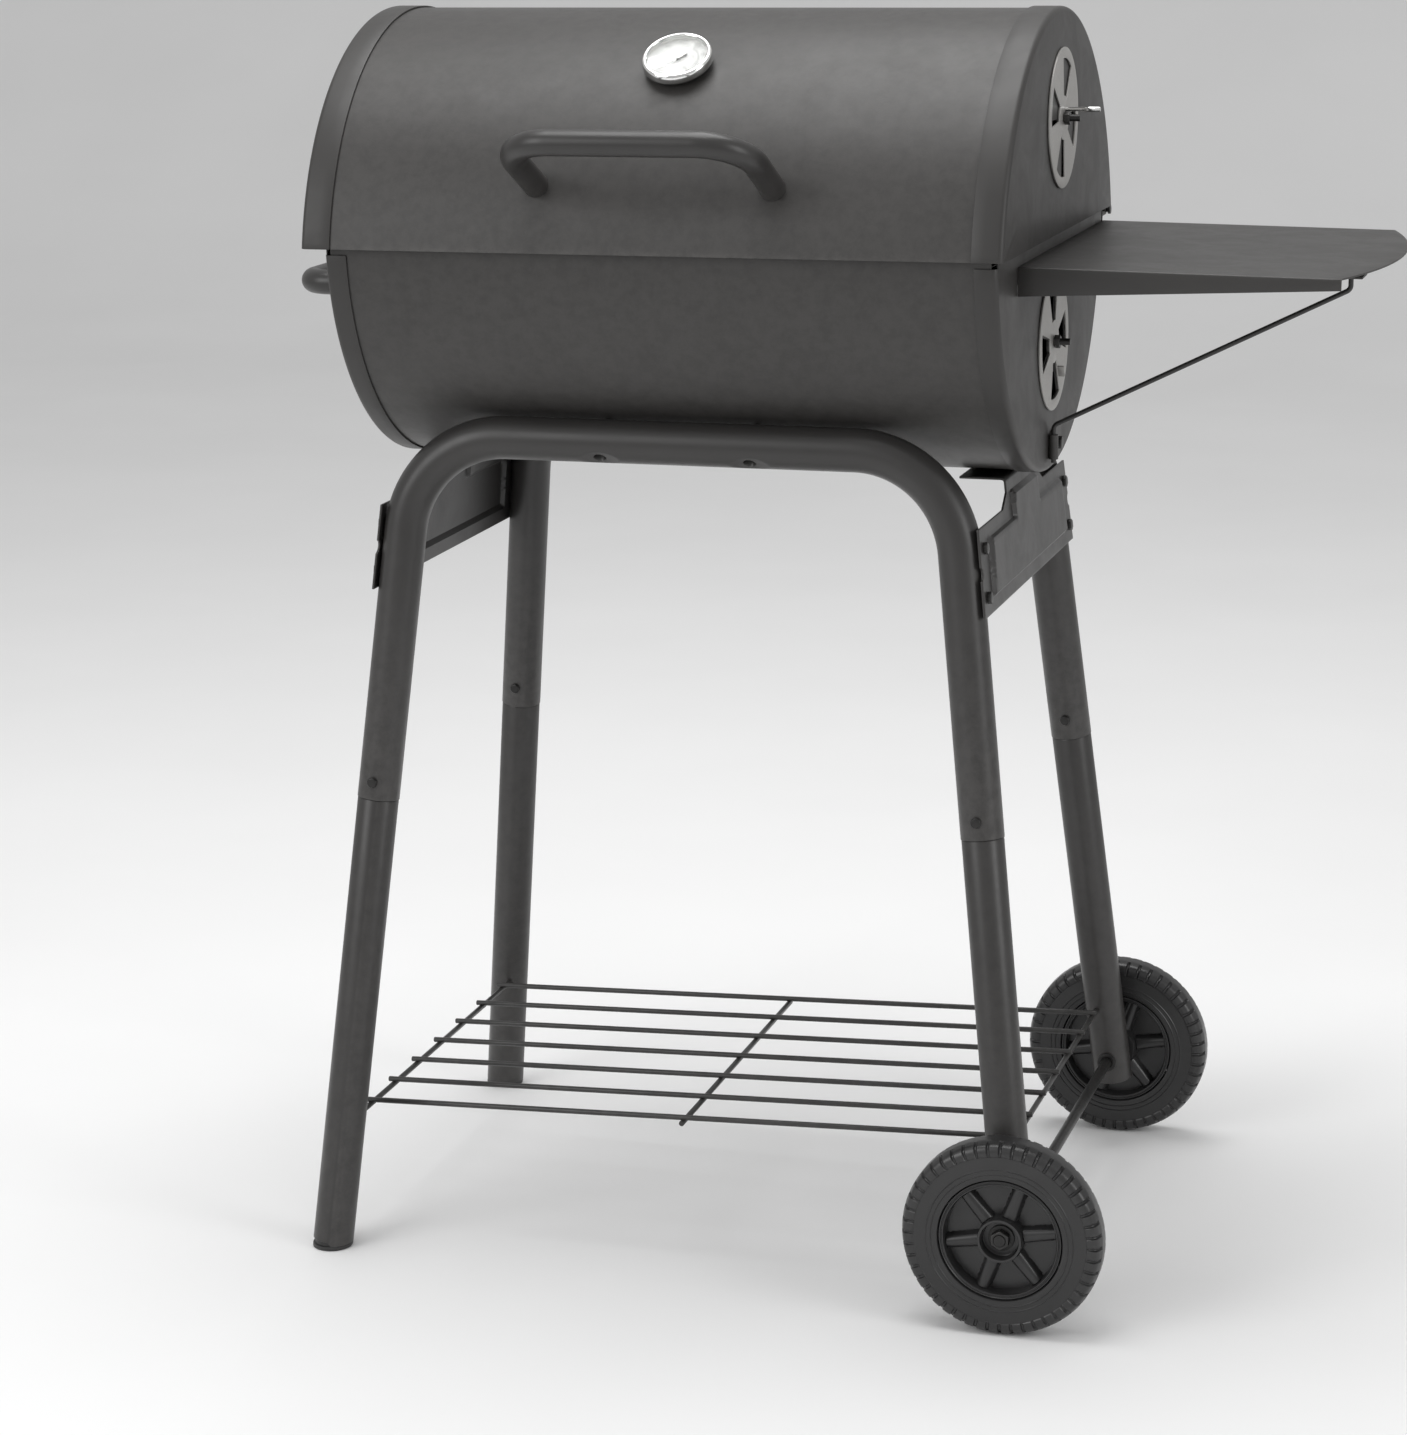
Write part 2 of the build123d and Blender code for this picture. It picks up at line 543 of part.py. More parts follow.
plate_bolt_spots = [(row * plate_leg_y(v), v) for row in (-1, 1) for v in EAR_BOLTS_V]
for row, name in ((-1, "front"), (1, "rear")):
    route = [leg_point(-1, row, JOINT_Z + FIT), leg_point(-1, row, BAR_Z),
             leg_point(1, row, BAR_Z), leg_point(1, row, JOINT_Z + FIT)]
    frame = bent_pipe(route, FRAME_BEND, TUBE_R, TUBE_WALL)
    for x in (-FRAME_BOLT_X, FRAME_BOLT_X):
        start = Vector(x, row * BAR_Y, BAR_Z)
        frame -= rod(start, start + FRAME_WAY[row] * 30, HOLE_R)
        frame -= rod(start - FRAME_WAY[row] * 30, start, SEAT_R)
    for cutter in leg_screw_holes(row):
        frame -= cutter
    for u, v in plate_bolt_spots:
        if u * row > 0:
            spot = plate_plane(0) * Location((u, v, 0))
            hole = extrude(Plane(spot) * Circle(PLATE_BOLT_R + FIT), -TUBE_R)
            frame -= hole
            frame -= mirror(hole, Plane.YZ)
    save(f"{name}_frame_tube", frame)

    for side, tag in ((-1, "left"), (1, "right")):
        top = Vector(*leg_point(side, row, JOINT_Z))
        up = (Vector(*leg_point(side, row, BAR_Z)) - top).normalized()
        if side < 0:
            low = leg_point(side, row, -12)
        else:
            low = leg_point(side, row, RIGHT_LEG_END_Z)
        leg = pipe(low, top, LEG_R, TUBE_WALL)
        leg += pipe(top - up * 5, top + up * SPIGOT_LEN, SPIGOT_R, TUBE_WALL)
        if side < 0:
            leg -= block(-400, 0, -300, 300, -60, PLUG_T + FIT)
        for cutter in leg_screw_holes(row):
            leg -= cutter
        if side > 0:
            leg -= rod((AXLE_X, -300, AXLE_Z), (AXLE_X, 300, AXLE_Z), AXLE_R + 0.3)
        x = side * RACK_X
        z = RACK_Z + side * RACK_RISE
        inner = row * (leg_point(side, row, z)[1] * row - 5)
        leg -= rod((x, row * 150, z), (x, inner, z), RACK_WIRE_R + 0.3)
        save(f"{name}_{tag}_leg", leg)

screws = []
for row in (-1, 1):
    for side in (-1, 1):
        x, y, z = leg_point(side, row, JOINT_Z + SCREW_UP)
        screws.append(pan_screw((x, y - TUBE_R - 0.8, z), (0, 1, 0), SCREW_R, 12, 4.8, 2.8))
save("leg_screws", Compound(screws))

plugs = []
for row in (-1, 1):
    base = rod(leg_point(-1, row, -12), leg_point(-1, row, 20), LEG_R) & block(-400, 0, -300, 300, 0, PLUG_T)
    stub = rod(leg_point(-1, row, 2), leg_point(-1, row, 24), LEG_R - TUBE_WALL - FIT)
    plugs.append(base + (stub & block(-400, 0, -300, 300, 1, 60)))
save("foot_plugs", Compound(plugs))

# side brackets, drawn for the right side and mirrored to the left
NECK_FRONT = -62.0
NECK_REAR = 62.0
TAB_Z = FIREBOX_Z - SHELL_R - FIT - PLATE_T      # underside of the tab under the drum
TAB_END_X = 228.0
plate_tip = leg_point(1, 1, TAB_Z)[0] + PLATE_LIFT
neck_v = (TAB_Z + 1.0 - plate_plane(0).origin.Z) / PLATE_WAY.X
ear_low = plate_leg_y(PLATE_LOW) + EAR_OUT
ear_high = plate_leg_y(PLATE_HIGH) + EAR_OUT
outline = Polygon((-ear_low, PLATE_LOW), (ear_low, PLATE_LOW), (ear_high, PLATE_HIGH),
                  (NECK_REAR + 20, PLATE_HIGH), (NECK_REAR, PLATE_HIGH + 16), (NECK_REAR, neck_v),
                  (NECK_FRONT, neck_v), (NECK_FRONT, PLATE_HIGH + 16), (NECK_FRONT - 20, PLATE_HIGH),
                  (-ear_high, PLATE_HIGH), align=None)
middle_half = plate_leg_y(0) - 20
middle = Polygon((-middle_half, PLATE_LOW + EDGE_FOLD), (middle_half, PLATE_LOW + EDGE_FOLD),
                 (middle_half - 3, PLATE_HIGH - EDGE_FOLD), (NECK_REAR - EDGE_FOLD, PLATE_HIGH - 4),
                 (NECK_REAR - EDGE_FOLD, neck_v - 10), (NECK_FRONT + EDGE_FOLD, neck_v - 10),
                 (NECK_FRONT + EDGE_FOLD, PLATE_HIGH - 4), (3 - middle_half, PLATE_HIGH - EDGE_FOLD),
                 align=None)
plate = extrude(plate_plane(0) * outline, PLATE_T)
plate += extrude(plate_plane(0) * middle, PLATE_T + PLATE_RISE)
plate -= extrude(plate_plane(-1) * offset(middle, -PLATE_T), PLATE_RISE + 1)
for u, v in plate_bolt_spots:
    plate -= extrude(plate_plane(-5) * Pos(u, v) * Circle(PLATE_BOLT_R + FIT), 20)
for row in (-1, 1):
    nick = Pos(row * (plate_leg_y(NICK_V) + EAR_OUT + 1.5), NICK_V) * Circle(NICK_R)
    plate -= extrude(plate_plane(-5) * nick, 20)
plate += block(TAB_END_X, plate_tip + 1.5, NECK_FRONT, NECK_REAR, TAB_Z, TAB_Z + PLATE_T)
plate -= rod((TAB_BOLT_X, 0, TAB_Z - 5), (TAB_BOLT_X, 0, TAB_Z + 5), HOLE_R)
save("side_bracket_right", plate)
save("side_bracket_left", mirror(plate, Plane.YZ))

bolts = []
for u, v in plate_bolt_spots:
    spot = plate_plane(PLATE_T + 0.1) * Location((u, v, 0))
    seat = Vector(spot.position)
    one = bolt(seat, -PLATE_WAY, PLATE_BOLT_R, 14, HEAD_R - 1, 3.6)
    bolts.append(one)
    bolts.append(mirror(one, Plane.YZ))
save("bracket_bolts", Compound(bolts))

bolts = []
for row in (-1, 1):
    for x in (-FRAME_BOLT_X, FRAME_BOLT_X):
        start = Vector(x, row * BAR_Y, BAR_Z)
        reach = (Vector(x, 0, FIREBOX_Z) - start).length - (SHELL_R - SHEET)
        one = bolt(start + FRAME_WAY[row] * SEAT_UP, FRAME_WAY[row], M6_R,
                   reach + NUT_H + 1.7 - SEAT_UP, SEAT_HEAD_R, HEAD_H)
        seat = start + FRAME_WAY[row] * (reach + 0.4)
        bolts.append(one + nut(seat, FRAME_WAY[row], M6_R, HEAD_R, NUT_H))
for x in (-TAB_BOLT_X, TAB_BOLT_X):
    one = bolt((x, 0, TAB_Z - 0.1), (0, 0, 1), M6_R, 12, HEAD_R, HEAD_H)
    seat = (x, 0, FIREBOX_Z - SHELL_R + SHEET + 0.3)
    bolts.append(one + nut(seat, (0, 0, 1), M6_R, HEAD_R, NUT_H))
save("drum_bolts", Compound(bolts))

# ---------------------------------------------------------------- axle and wheels
HUB_R = 19.6
HUB_CUP_R = 16.5       # round recess in the outer end of the hub
HUB_CUP_DEEP = 10.0
HUB_HALF = WHEEL_WIDTH / 2
WEB_T = 5.0
SPOKES = 6
SPOKE_W = 12.0
SPOKE_TURN = 10.0
SEAT_Y = WHEEL_Y + HUB_HALF - HUB_CUP_DEEP     # floor of the recess, where the washer bears
AXLE_END = WHEEL_Y + HUB_HALF - 0.5
shaft_line = [(AXLE_X, y, AXLE_Z) for y in (-AXLE_END, AXLE_END)]
save("axle", rod(*shaft_line, AXLE_R))

washers, nuts = [], []
for row in (-1, 1):
    inner = row * (WHEEL_Y - HUB_HALF - 2.0)
    for y, outer_r in ((inner, 10.5), (row * (SEAT_Y + 0.4), 11.5)):
        washers.append(washer((AXLE_X, y, AXLE_Z), (0, row, 0), AXLE_R + 0.05, outer_r, 1.4))
    bush_y = row * (leg_point(1, 1, AXLE_Z)[1] - LEG_R - 1.4)
    washers.append(washer((AXLE_X, bush_y, AXLE_Z), (0, -row, 0), AXLE_R + 0.05, 9.0, 2.6))
    nuts.append(nut((AXLE_X, row * (SEAT_Y + 2.0), AXLE_Z), (0, row, 0), AXLE_R + 0.05, 8.6, 6.5))
save("axle_washers", Compound(washers))
save("axle_nuts", Compound(nuts))

for row, name in ((-1, "front"), (1, "rear")):
    seat = (AXLE_X, row * (WHEEL_Y - HUB_HALF), AXLE_Z)
    inward = Plane(origin=seat, x_dir=(1, 0, 0), z_dir=(0, row, 0))
    middle = Plane(origin=(AXLE_X, row * WHEEL_Y, AXLE_Z), x_dir=(1, 0, 0), z_dir=(0, row, 0))
    cup = Plane(origin=(AXLE_X, row * SEAT_Y, AXLE_Z), x_dir=(1, 0, 0), z_dir=(0, row, 0))
    hub = extrude(inward * Circle(HUB_R), WHEEL_WIDTH)
    hub += extrude(inward * (Circle(WHEEL_RIM_R) - Circle(WHEEL_RIM_R - 5)), WHEEL_WIDTH)
    hub += extrude(middle * Circle(WHEEL_RIM_R - 1), WEB_T / 2, both=True)
    for k in range(SPOKES):
        bar = Rot(0, 0, 360 / SPOKES * k - row * SPOKE_TURN) * (Pos((HUB_R + WHEEL_RIM_R - 5) / 2, 0)
                                                                * Rectangle(WHEEL_RIM_R - HUB_R, SPOKE_W))
        hub += extrude(middle * bar, WEB_T / 2 + 7, both=True)
    hub -= extrude(cup * Circle(HUB_CUP_R), HUB_CUP_DEEP + 1)
    hub -= extrude(inward * Circle(AXLE_R + RUN), WHEEL_WIDTH)
    save(f"{name}_wheel_hub", hub)
    tyre = Cylinder(WHEEL_R, WHEEL_WIDTH)
    tyre = fillet(tyre.edges(), 6)
    tyre -= Cylinder(WHEEL_RIM_R + FIT, WHEEL_WIDTH + 2)
    save(f"{name}_wheel_tyre", Pos(AXLE_X, row * WHEEL_Y, AXLE_Z) * (Rot(90, 0, 0) * tyre))

# ---------------------------------------------------------------- bottom rack
WIRE_OVERHANG = 5.0
rack = None
for k in range(-3, 4):
    y = k * RACK_PITCH
    end_x = RACK_X + WIRE_OVERHANG
    end_rise = RACK_RISE * end_x / RACK_X
    wire = rod((-end_x, y, RACK_Z + 4.4 - end_rise), (end_x, y, RACK_Z + 4.4 + end_rise), RACK_WIRE_R)
    rack = wire if rack is None else rack + wire
for x, half in ((-RACK_X, 209.0), (0.0, 3 * RACK_PITCH + WIRE_OVERHANG), (RACK_X, 209.0)):
    z = RACK_Z + RACK_RISE * x / RACK_X
    rack += rod((x, -half, z), (x, half, z), RACK_WIRE_R)
save("bottom_rack", rack)

# ---------------------------------------------------------------- side shelf and its brace
HANG = Pos(SHELF_IN, 0, SHELF_Z) * Rot(0, SHELF_DROOP, 0) * Pos(-SHELF_IN, 0, -SHELF_Z)
mid_y = (SHELF_FRONT + SHELF_REAR) / 2
border = Polyline((SHELF_OUT, SHELF_REAR), (SHELF_IN, SHELF_REAR), (SHELF_IN, SHELF_FRONT),
                  (SHELF_OUT, SHELF_FRONT))
border += ThreePointArc((SHELF_OUT, SHELF_FRONT), (SHELF_OUT + SHELF_BULGE, mid_y), (SHELF_OUT, SHELF_REAR))
top_face = make_face(border)
shelf = Pos(0, 0, SHELF_Z - SHEET) * extrude(top_face, SHEET)
for edge_y, inner_y in ((SHELF_FRONT, SHELF_FRONT + SHEET), (SHELF_REAR - SHEET, SHELF_REAR)):
    side_face = Polygon((SHELF_IN, SHELF_Z - SHELF_DEEP), (SHELF_OUT, SHELF_Z - SHELF_SHALLOW),
                        (SHELF_OUT, SHELF_Z), (SHELF_IN, SHELF_Z), align=None)
    flange = extrude(Plane.XZ * side_face, -(inner_y - edge_y))
    shelf += Pos(0, edge_y, 0) * flange
shelf += block(SHELF_IN, SHELF_IN + SHEET, SHELF_FRONT, SHELF_REAR, SHELF_Z - 16, SHELF_Z)
for y in SHELF_BOLTS_Y:
    shelf -= rod((SHELF_IN - 2, y, SHELF_BOLT_Z), (SHELF_IN + 4, y, SHELF_BOLT_Z), HOLE_R)
save("side_shelf", HANG * shelf)

bolts = []
for y in SHELF_BOLTS_Y:
    seat = (SHELF_IN + SHEET + 0.1, y, SHELF_BOLT_Z)
    one = bolt(seat, (-1, 0, 0), M6_R, 13, HEAD_R - 0.6, HEAD_H)
    end = nut((FIREBOX_HALF - SHEET - 0.3, y, SHELF_BOLT_Z), (-1, 0, 0), M6_R, HEAD_R - 0.6, NUT_H)
    bolts.append(one + end)
save("shelf_bolts", Compound(bolts))

BRACE_R = 2.2
EYE_Y = -12.0          # rolled eye at the front edge of the brace bracket
EYE_R = 4.1
EYE_LOW = 720.0
EYE_HIGH = 742.0
BRACKET_T = 1.6
BRACKET_X = FIREBOX_HALF + 0.3
EYE_X = BRACKET_X + EYE_R
STEP_Z = 885.0         # underside of the stepped tab under the shelf
STEP_HOLE_X = 556.0
wall = block(BRACKET_X, BRACKET_X + BRACKET_T, EYE_Y, 32, 718, 744)
wall = fillet([e for e in wall.edges().filter_by(Axis.X) if e.center().Y > 31], 6)
wall -= block(290, 310, EYE_Y - 1, EYE_Y + EYE_R + 1, 710, EYE_LOW)
wall -= block(290, 310, EYE_Y - 1, EYE_Y + EYE_R + 1, EYE_HIGH, 750)
bracket = wall + rod((EYE_X, EYE_Y, EYE_LOW), (EYE_X, EYE_Y, EYE_HIGH), EYE_R)
bracket -= rod((EYE_X, EYE_Y, EYE_LOW - 5), (EYE_X, EYE_Y, EYE_HIGH + 5), BRACE_R + 0.3)
bracket -= rod((290, BRACE_BOLT_Y, BRACE_BOLT_Z), (310, BRACE_BOLT_Y, BRACE_BOLT_Z), HOLE_R)
save("brace_bracket", bracket)
one = bolt((BRACKET_X + BRACKET_T + 0.1, BRACE_BOLT_Y, BRACE_BOLT_Z), (-1, 0, 0), M6_R, 13, HEAD_R - 0.6, HEAD_H)
end = nut((FIREBOX_HALF - SHEET - 0.3, BRACE_BOLT_Y, BRACE_BOLT_Z), (-1, 0, 0), M6_R, HEAD_R - 0.6, NUT_H)
save("brace_bracket_bolt", one + end)

under = SHELF_Z - SHEET - FIT
tab = block(513, 541, -16, 16, under - 2, under)
tab += block(539, 541, -16, 16, STEP_Z + 4, under)
tab += block(539, 568, -16, 16, STEP_Z + 4, STEP_Z + 6)
tab = fillet([e for e in tab.edges().filter_by(Axis.Z) if e.center().X > 567], 9)
tab = HANG * tab
tab -= rod((STEP_HOLE_X, 0, STEP_Z - 10), (STEP_HOLE_X, 0, STEP_Z + 10), BRACE_R + 0.3)
save("brace_tab", tab)
route = [(EYE_X, EYE_Y, EYE_LOW - 3), (EYE_X, EYE_Y, EYE_HIGH + 8), (STEP_HOLE_X, 0, STEP_Z - 11),
         (STEP_HOLE_X, 0, STEP_Z + 8)]
save("brace_rod", bent_rod(route, 6, BRACE_R))

# ---------------------------------------------------------------- grates
LEDGE_Z = 897.0        # top of the ledges that carry the cooking grates
LEDGE_HALF = 180.0
LEDGE_WIDTH = 18.0
GRATE_EDGE_R = 3.0
GRATE_WIRE_R = 2.2
COOK_HALF = 206.0
COOK_PITCH = 16.0
COOK_END = 280.0
FIRE_Z = 790.0
FIRE_HALF = 162.6
FIRE_END = 285.0
FIRE_PITCH = 24.0

ledges = []
for side in (-1, 1):
    wall = side * (FIREBOX_HALF - SHEET - FIT)
    upright_x = sorted((wall, wall - side * SHEET))
    flat_x = sorted((wall, wall - side * LEDGE_WIDTH))
    ledge = block(*upright_x, -LEDGE_HALF, LEDGE_HALF, LEDGE_Z - 12, LEDGE_Z)
    ledge += block(*flat_x, -LEDGE_HALF, LEDGE_HALF, LEDGE_Z - SHEET, LEDGE_Z)
    if side > 0:
        for y in SHELF_BOLTS_Y:
            ledge -= block(284, 300, y - 8, y + 8, LEDGE_Z - 20, LEDGE_Z + 5)
    ledges.append(ledge)
save("grate_ledges", Compound(ledges))


def wire_grate(x0, x1, half, z, pitch):
    """Rectangular wire grate: a thick border and thinner wires from front to rear."""
    corners = [(x0, -half, z), (x1, -half, z), (x1, half, z), (x0, half, z)]
    grate = None
    for a, b in zip(corners, corners[1:] + corners[:1]):
        side_bar = rod(a, b, GRATE_EDGE_R)
        grate = side_bar if grate is None else grate + side_bar
    for corner in corners:
        grate += Pos(*corner) * Sphere(GRATE_EDGE_R)
    count = round((x1 - x0) / pitch)
    for k in range(1, count):
        x = x0 + (x1 - x0) * k / count
        grate += rod((x, -half, z), (x, half, z), GRATE_WIRE_R)
    return grate


cook_z = LEDGE_Z + GRATE_EDGE_R + 0.1
for side, name in ((-1, "left"), (1, "right")):
    x0, x1 = sorted((side * 5.0, side * COOK_END))
    save(f"cooking_grate_{name}", wire_grate(x0, x1, COOK_HALF, cook_z, COOK_PITCH))
save("charcoal_grate", wire_grate(-FIRE_END, FIRE_END, FIRE_HALF, FIRE_Z, FIRE_PITCH))
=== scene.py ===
import json
import math

import bmesh
import bpy
import numpy as np
from mathutils import Matrix, Vector


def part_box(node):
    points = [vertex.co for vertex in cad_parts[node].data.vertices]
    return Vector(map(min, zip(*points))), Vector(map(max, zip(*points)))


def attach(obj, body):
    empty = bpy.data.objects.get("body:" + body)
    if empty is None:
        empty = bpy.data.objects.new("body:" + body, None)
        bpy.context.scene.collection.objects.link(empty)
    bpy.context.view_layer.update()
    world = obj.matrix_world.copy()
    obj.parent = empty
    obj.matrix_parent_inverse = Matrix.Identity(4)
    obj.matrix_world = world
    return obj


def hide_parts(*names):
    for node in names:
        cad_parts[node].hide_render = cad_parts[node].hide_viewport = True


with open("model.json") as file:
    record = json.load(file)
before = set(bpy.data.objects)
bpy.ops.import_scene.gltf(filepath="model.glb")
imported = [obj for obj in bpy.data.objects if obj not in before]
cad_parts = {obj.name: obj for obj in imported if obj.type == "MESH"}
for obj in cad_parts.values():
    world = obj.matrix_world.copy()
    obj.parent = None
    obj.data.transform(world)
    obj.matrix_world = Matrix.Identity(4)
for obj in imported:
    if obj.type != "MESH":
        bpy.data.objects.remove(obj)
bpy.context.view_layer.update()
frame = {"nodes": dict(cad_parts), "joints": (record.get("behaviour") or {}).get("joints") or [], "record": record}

# Barrel charcoal grill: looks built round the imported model. Lengths here are millimetres with
# X and Y measured from the middle of the barrel; place() turns them into metres in the shared frame.

MM = 0.001
RECORD = frame["record"]
SLOT_OF = {part["node"]: part["material_slot"] for part in RECORD["subparts"]}
BODY_OF = {node: body for body, nodes in RECORD["behaviour"]["bodies"].items() for node in nodes}


def span(node):
    """Lowest and highest corner of a CAD node, in millimetres from the middle of the barrel."""
    low, high = (np.array(corner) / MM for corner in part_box(node))
    return low - MIDDLE, high - MIDDLE


barrel_low, barrel_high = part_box("firebox_shell")
MIDDLE = np.array([(barrel_low.x + barrel_high.x) / 2, (barrel_low.y + barrel_high.y) / 2, 0.0]) / MM
PIVOT = {joint["name"]: np.array(joint["pos_m"]) / MM - MIDDLE for joint in frame["joints"]}

# ---------------------------------------------------------------- sizes shared by pieces
SHEET = 1.5
CORNER = 5.0
cap_low, cap_high = span("firebox_cap_right")
RIM_Z = cap_high[2]
FIREBOX_FACE = cap_high[0]
rim_rise = RIM_Z - cap_low[2]
FIREBOX_Z = ((cap_high[1] ** 2) / rim_rise + cap_low[2] + RIM_Z) / 2
FIREBOX_R = FIREBOX_Z - cap_low[2]
lid_low, lid_high = span("lid_cap_right")
LID_EDGE_Z = lid_low[2]
LID_RIGHT = lid_high[0]
LID_LEFT = span("lid_cap_left")[0][0]
lid_rise = lid_high[2] - LID_EDGE_Z
LID_Z = (lid_high[2] + LID_EDGE_Z - lid_high[1] ** 2 / lid_rise) / 2
LID_R = lid_high[2] - LID_Z
FIREBOX_FLANGE = 20.0
LID_FLANGE = lid_high[0] - lid_low[0]
SHELL_GAP = SHEET + 0.2
TUBE_R = 19.0
LEG_R = 18.5
TUBE_WALL = 1.5
FOOT = np.array([324.0, 230.0, 0.0])
KNEE = np.array([244.0, 156.2, 747.0])
JOINT_Z = 420.0

# ---------------------------------------------------------------- surfaces worked out on grids


def stitch(rings, wrap=True, loop=False, start=None, end=None):
    """Skin over a stack of rings, an array of (rings, points, 3): each quad joins neighbouring
    points of neighbouring rings. An end is closed by a fan to its middle or by one flat face."""
    rows, cols = rings.shape[:2]
    index = np.arange(rows * cols).reshape(rows, cols)
    if loop:
        index = np.vstack([index, index[:1]])
    here = index if wrap else index[:, :-1]
    there = np.roll(index, -1, axis=1) if wrap else index[:, 1:]
    faces = [np.stack([here[:-1], there[:-1], there[1:], here[1:]], axis=-1).reshape(-1, 4)]
    points = rings.reshape(-1, 3)
    for kind, row in ((start, 0), (end, rows - 1)):
        if kind == "fan":
            pole = np.full(cols, len(points))
            points = np.vstack([points, rings[row].mean(axis=0)])
            fan = np.stack([there[row], here[row], pole], axis=-1)
            faces.append(fan[:, ::-1] if row else fan)
        elif kind == "face":
            faces.append(index[row][None] if row else index[row][None, ::-1])
    return points, faces


def unit(way):
    """The vector, or each row of vectors, brought to length 1."""
    way = np.array(way, float)
    return way / np.linalg.norm(way, axis=-1, keepdims=True)


def volume(points, faces):
    """Signed volume: the sum over fans of triangles of corner . (corner x corner) / 6."""
    total = 0.0
    for group in faces:
        first = points[group[:, 0]]
        for k in range(1, group.shape[1] - 1):
            total += np.sum(first * np.cross(points[group[:, k]], points[group[:, k + 1]]))
    return total / 6


def outward(skin):
    """A closed skin with its faces turned outwards: one of negative volume is reversed."""
    points, faces = skin
    if volume(points, faces) < 0:
        faces = [group[:, ::-1] for group in faces]
    return points, faces


def moved(skin, turn=None, shift=(0, 0, 0)):
    """The skin turned by a 3 by 3 matrix and then shifted."""
    points, faces = skin
    if turn is not None:
        points = points @ np.array(turn).T
    return points + np.array(shift), faces


def mirrored(skin):
    """The skin with X negated."""
    return skin[0] * np.array([-1.0, 1.0, 1.0]), skin[1]


def eased(corners, bend, steps=4, closed=True):
    """Outline with each corner replaced by a curve from bend before it to bend after it:
    (1 - t) squared x before + 2 t (1 - t) x corner + t squared x after."""
    corners = np.array(corners, float)
    before = np.roll(corners, 1, axis=0) - corners
    after = np.roll(corners, -1, axis=0) - corners
    long_b = np.linalg.norm(before, axis=1, keepdims=True)
    long_a = np.linalg.norm(after, axis=1, keepdims=True)
    a = corners + before / long_b * np.minimum(bend, long_b * 0.45)
    b = corners + after / long_a * np.minimum(bend, long_a * 0.45)
    t = np.linspace(0, 1, steps + 1)[None, :, None]
    curve = (1 - t) ** 2 * a[:, None] + 2 * t * (1 - t) * corners[:, None] + t ** 2 * b[:, None]
    if closed:
        return curve.reshape(-1, corners.shape[1])
    middle = curve[1:-1].reshape(-1, corners.shape[1])
    return np.vstack([corners[:1], middle, corners[-1:]])


def ribbon(path, thick):
    """Closed outline of a strip: the path shifted half the thickness to each side, where the
    shift at a corner is the mean normal divided by the cosine of half the turn."""
    path = np.array(path, float)
    way = unit(np.diff(path, axis=0))
    normal = np.stack([-way[:, 1], way[:, 0]], axis=1)
    first = np.vstack([normal[:1], normal])
    second = np.vstack([normal, normal[-1:]])
    mean = unit(first + second)
    shift = mean * (thick / 2) / np.sum(mean * second, axis=1, keepdims=True)
    return np.vstack([path + shift, (path - shift)[::-1]])


def strip(path, thick, y0, y1, bend):
    """Folded sheet: the outline of a bent strip in the XZ plane carried along Y."""
    outline = ribbon(eased(path, bend, closed=False), thick)
    rings = np.stack([np.stack([outline[:, 0], np.full(len(outline), y), outline[:, 1]], axis=1)
                      for y in (y0, y1)])
    return outward(stitch(rings, start="face", end="face"))


def slab(outline, thick, origin, across, up):
    """Flat plate: an outline of (across, up) points carried through the thickness."""
    across, up = np.array(across, float), np.array(up, float)
    out = np.cross(across, up)
    flat = np.array(origin, float) + outline[:, :1] * across + outline[:, 1:] * up
    return outward(stitch(np.stack([flat, flat + out * thick]), start="face", end="face"))


def rect(u0, v0, u1, v1):
    """Outline of a rectangle between two opposite corners."""
    return np.array([(u0, v0), (u1, v0), (u1, v1), (u0, v1)])


def collar(bore, radius, length, inset=0.4, ease=0.4):
    """Looped profile of a short pipe with its outer edges eased."""
    return [(bore, 0), (radius - inset, 0), (radius, ease), (radius, length - ease), (radius - inset, length),
            (bore, length)]


def turned(profile, origin, axis, sides=48, loop=False):
    """Turned skin: origin + axis x height + radius x (u cos + v sin), for each (radius, height)
    of the profile. A looped profile makes a ring, and an open one is closed by two fans."""
    profile = np.array(profile, float)
    axis = unit(axis)
    u = unit(np.cross(axis, [0.0, 0.0, 1.0] if abs(axis[2]) < 0.9 else [1.0, 0.0, 0.0]))
    v = np.cross(axis, u)
    angle = np.linspace(0, 2 * np.pi, sides, endpoint=False)
    round_ = np.cos(angle)[:, None] * u + np.sin(angle)[:, None] * v
    rings = (np.array(origin, float) + profile[:, 1, None, None] * axis
             + profile[:, 0, None, None] * round_[None])
    ends = None if loop else "fan"
    return outward(stitch(rings, loop=loop, start=ends, end=ends))


def rod(a, b, radius, ease=0.4, sides=24):
    """Round bar from a to b with its end edges eased: radius - ease, radius, radius, radius - ease."""
    a, b = np.array(a, float), np.array(b, float)
    length = np.linalg.norm(b - a)
    profile = [(radius - ease, 0), (radius - ease * 0.3, ease * 0.3), (radius, ease),
               (radius, length - ease), (radius - ease * 0.3, length - ease * 0.3), (radius - ease, length)]
    return turned(profile, a, b - a, sides)


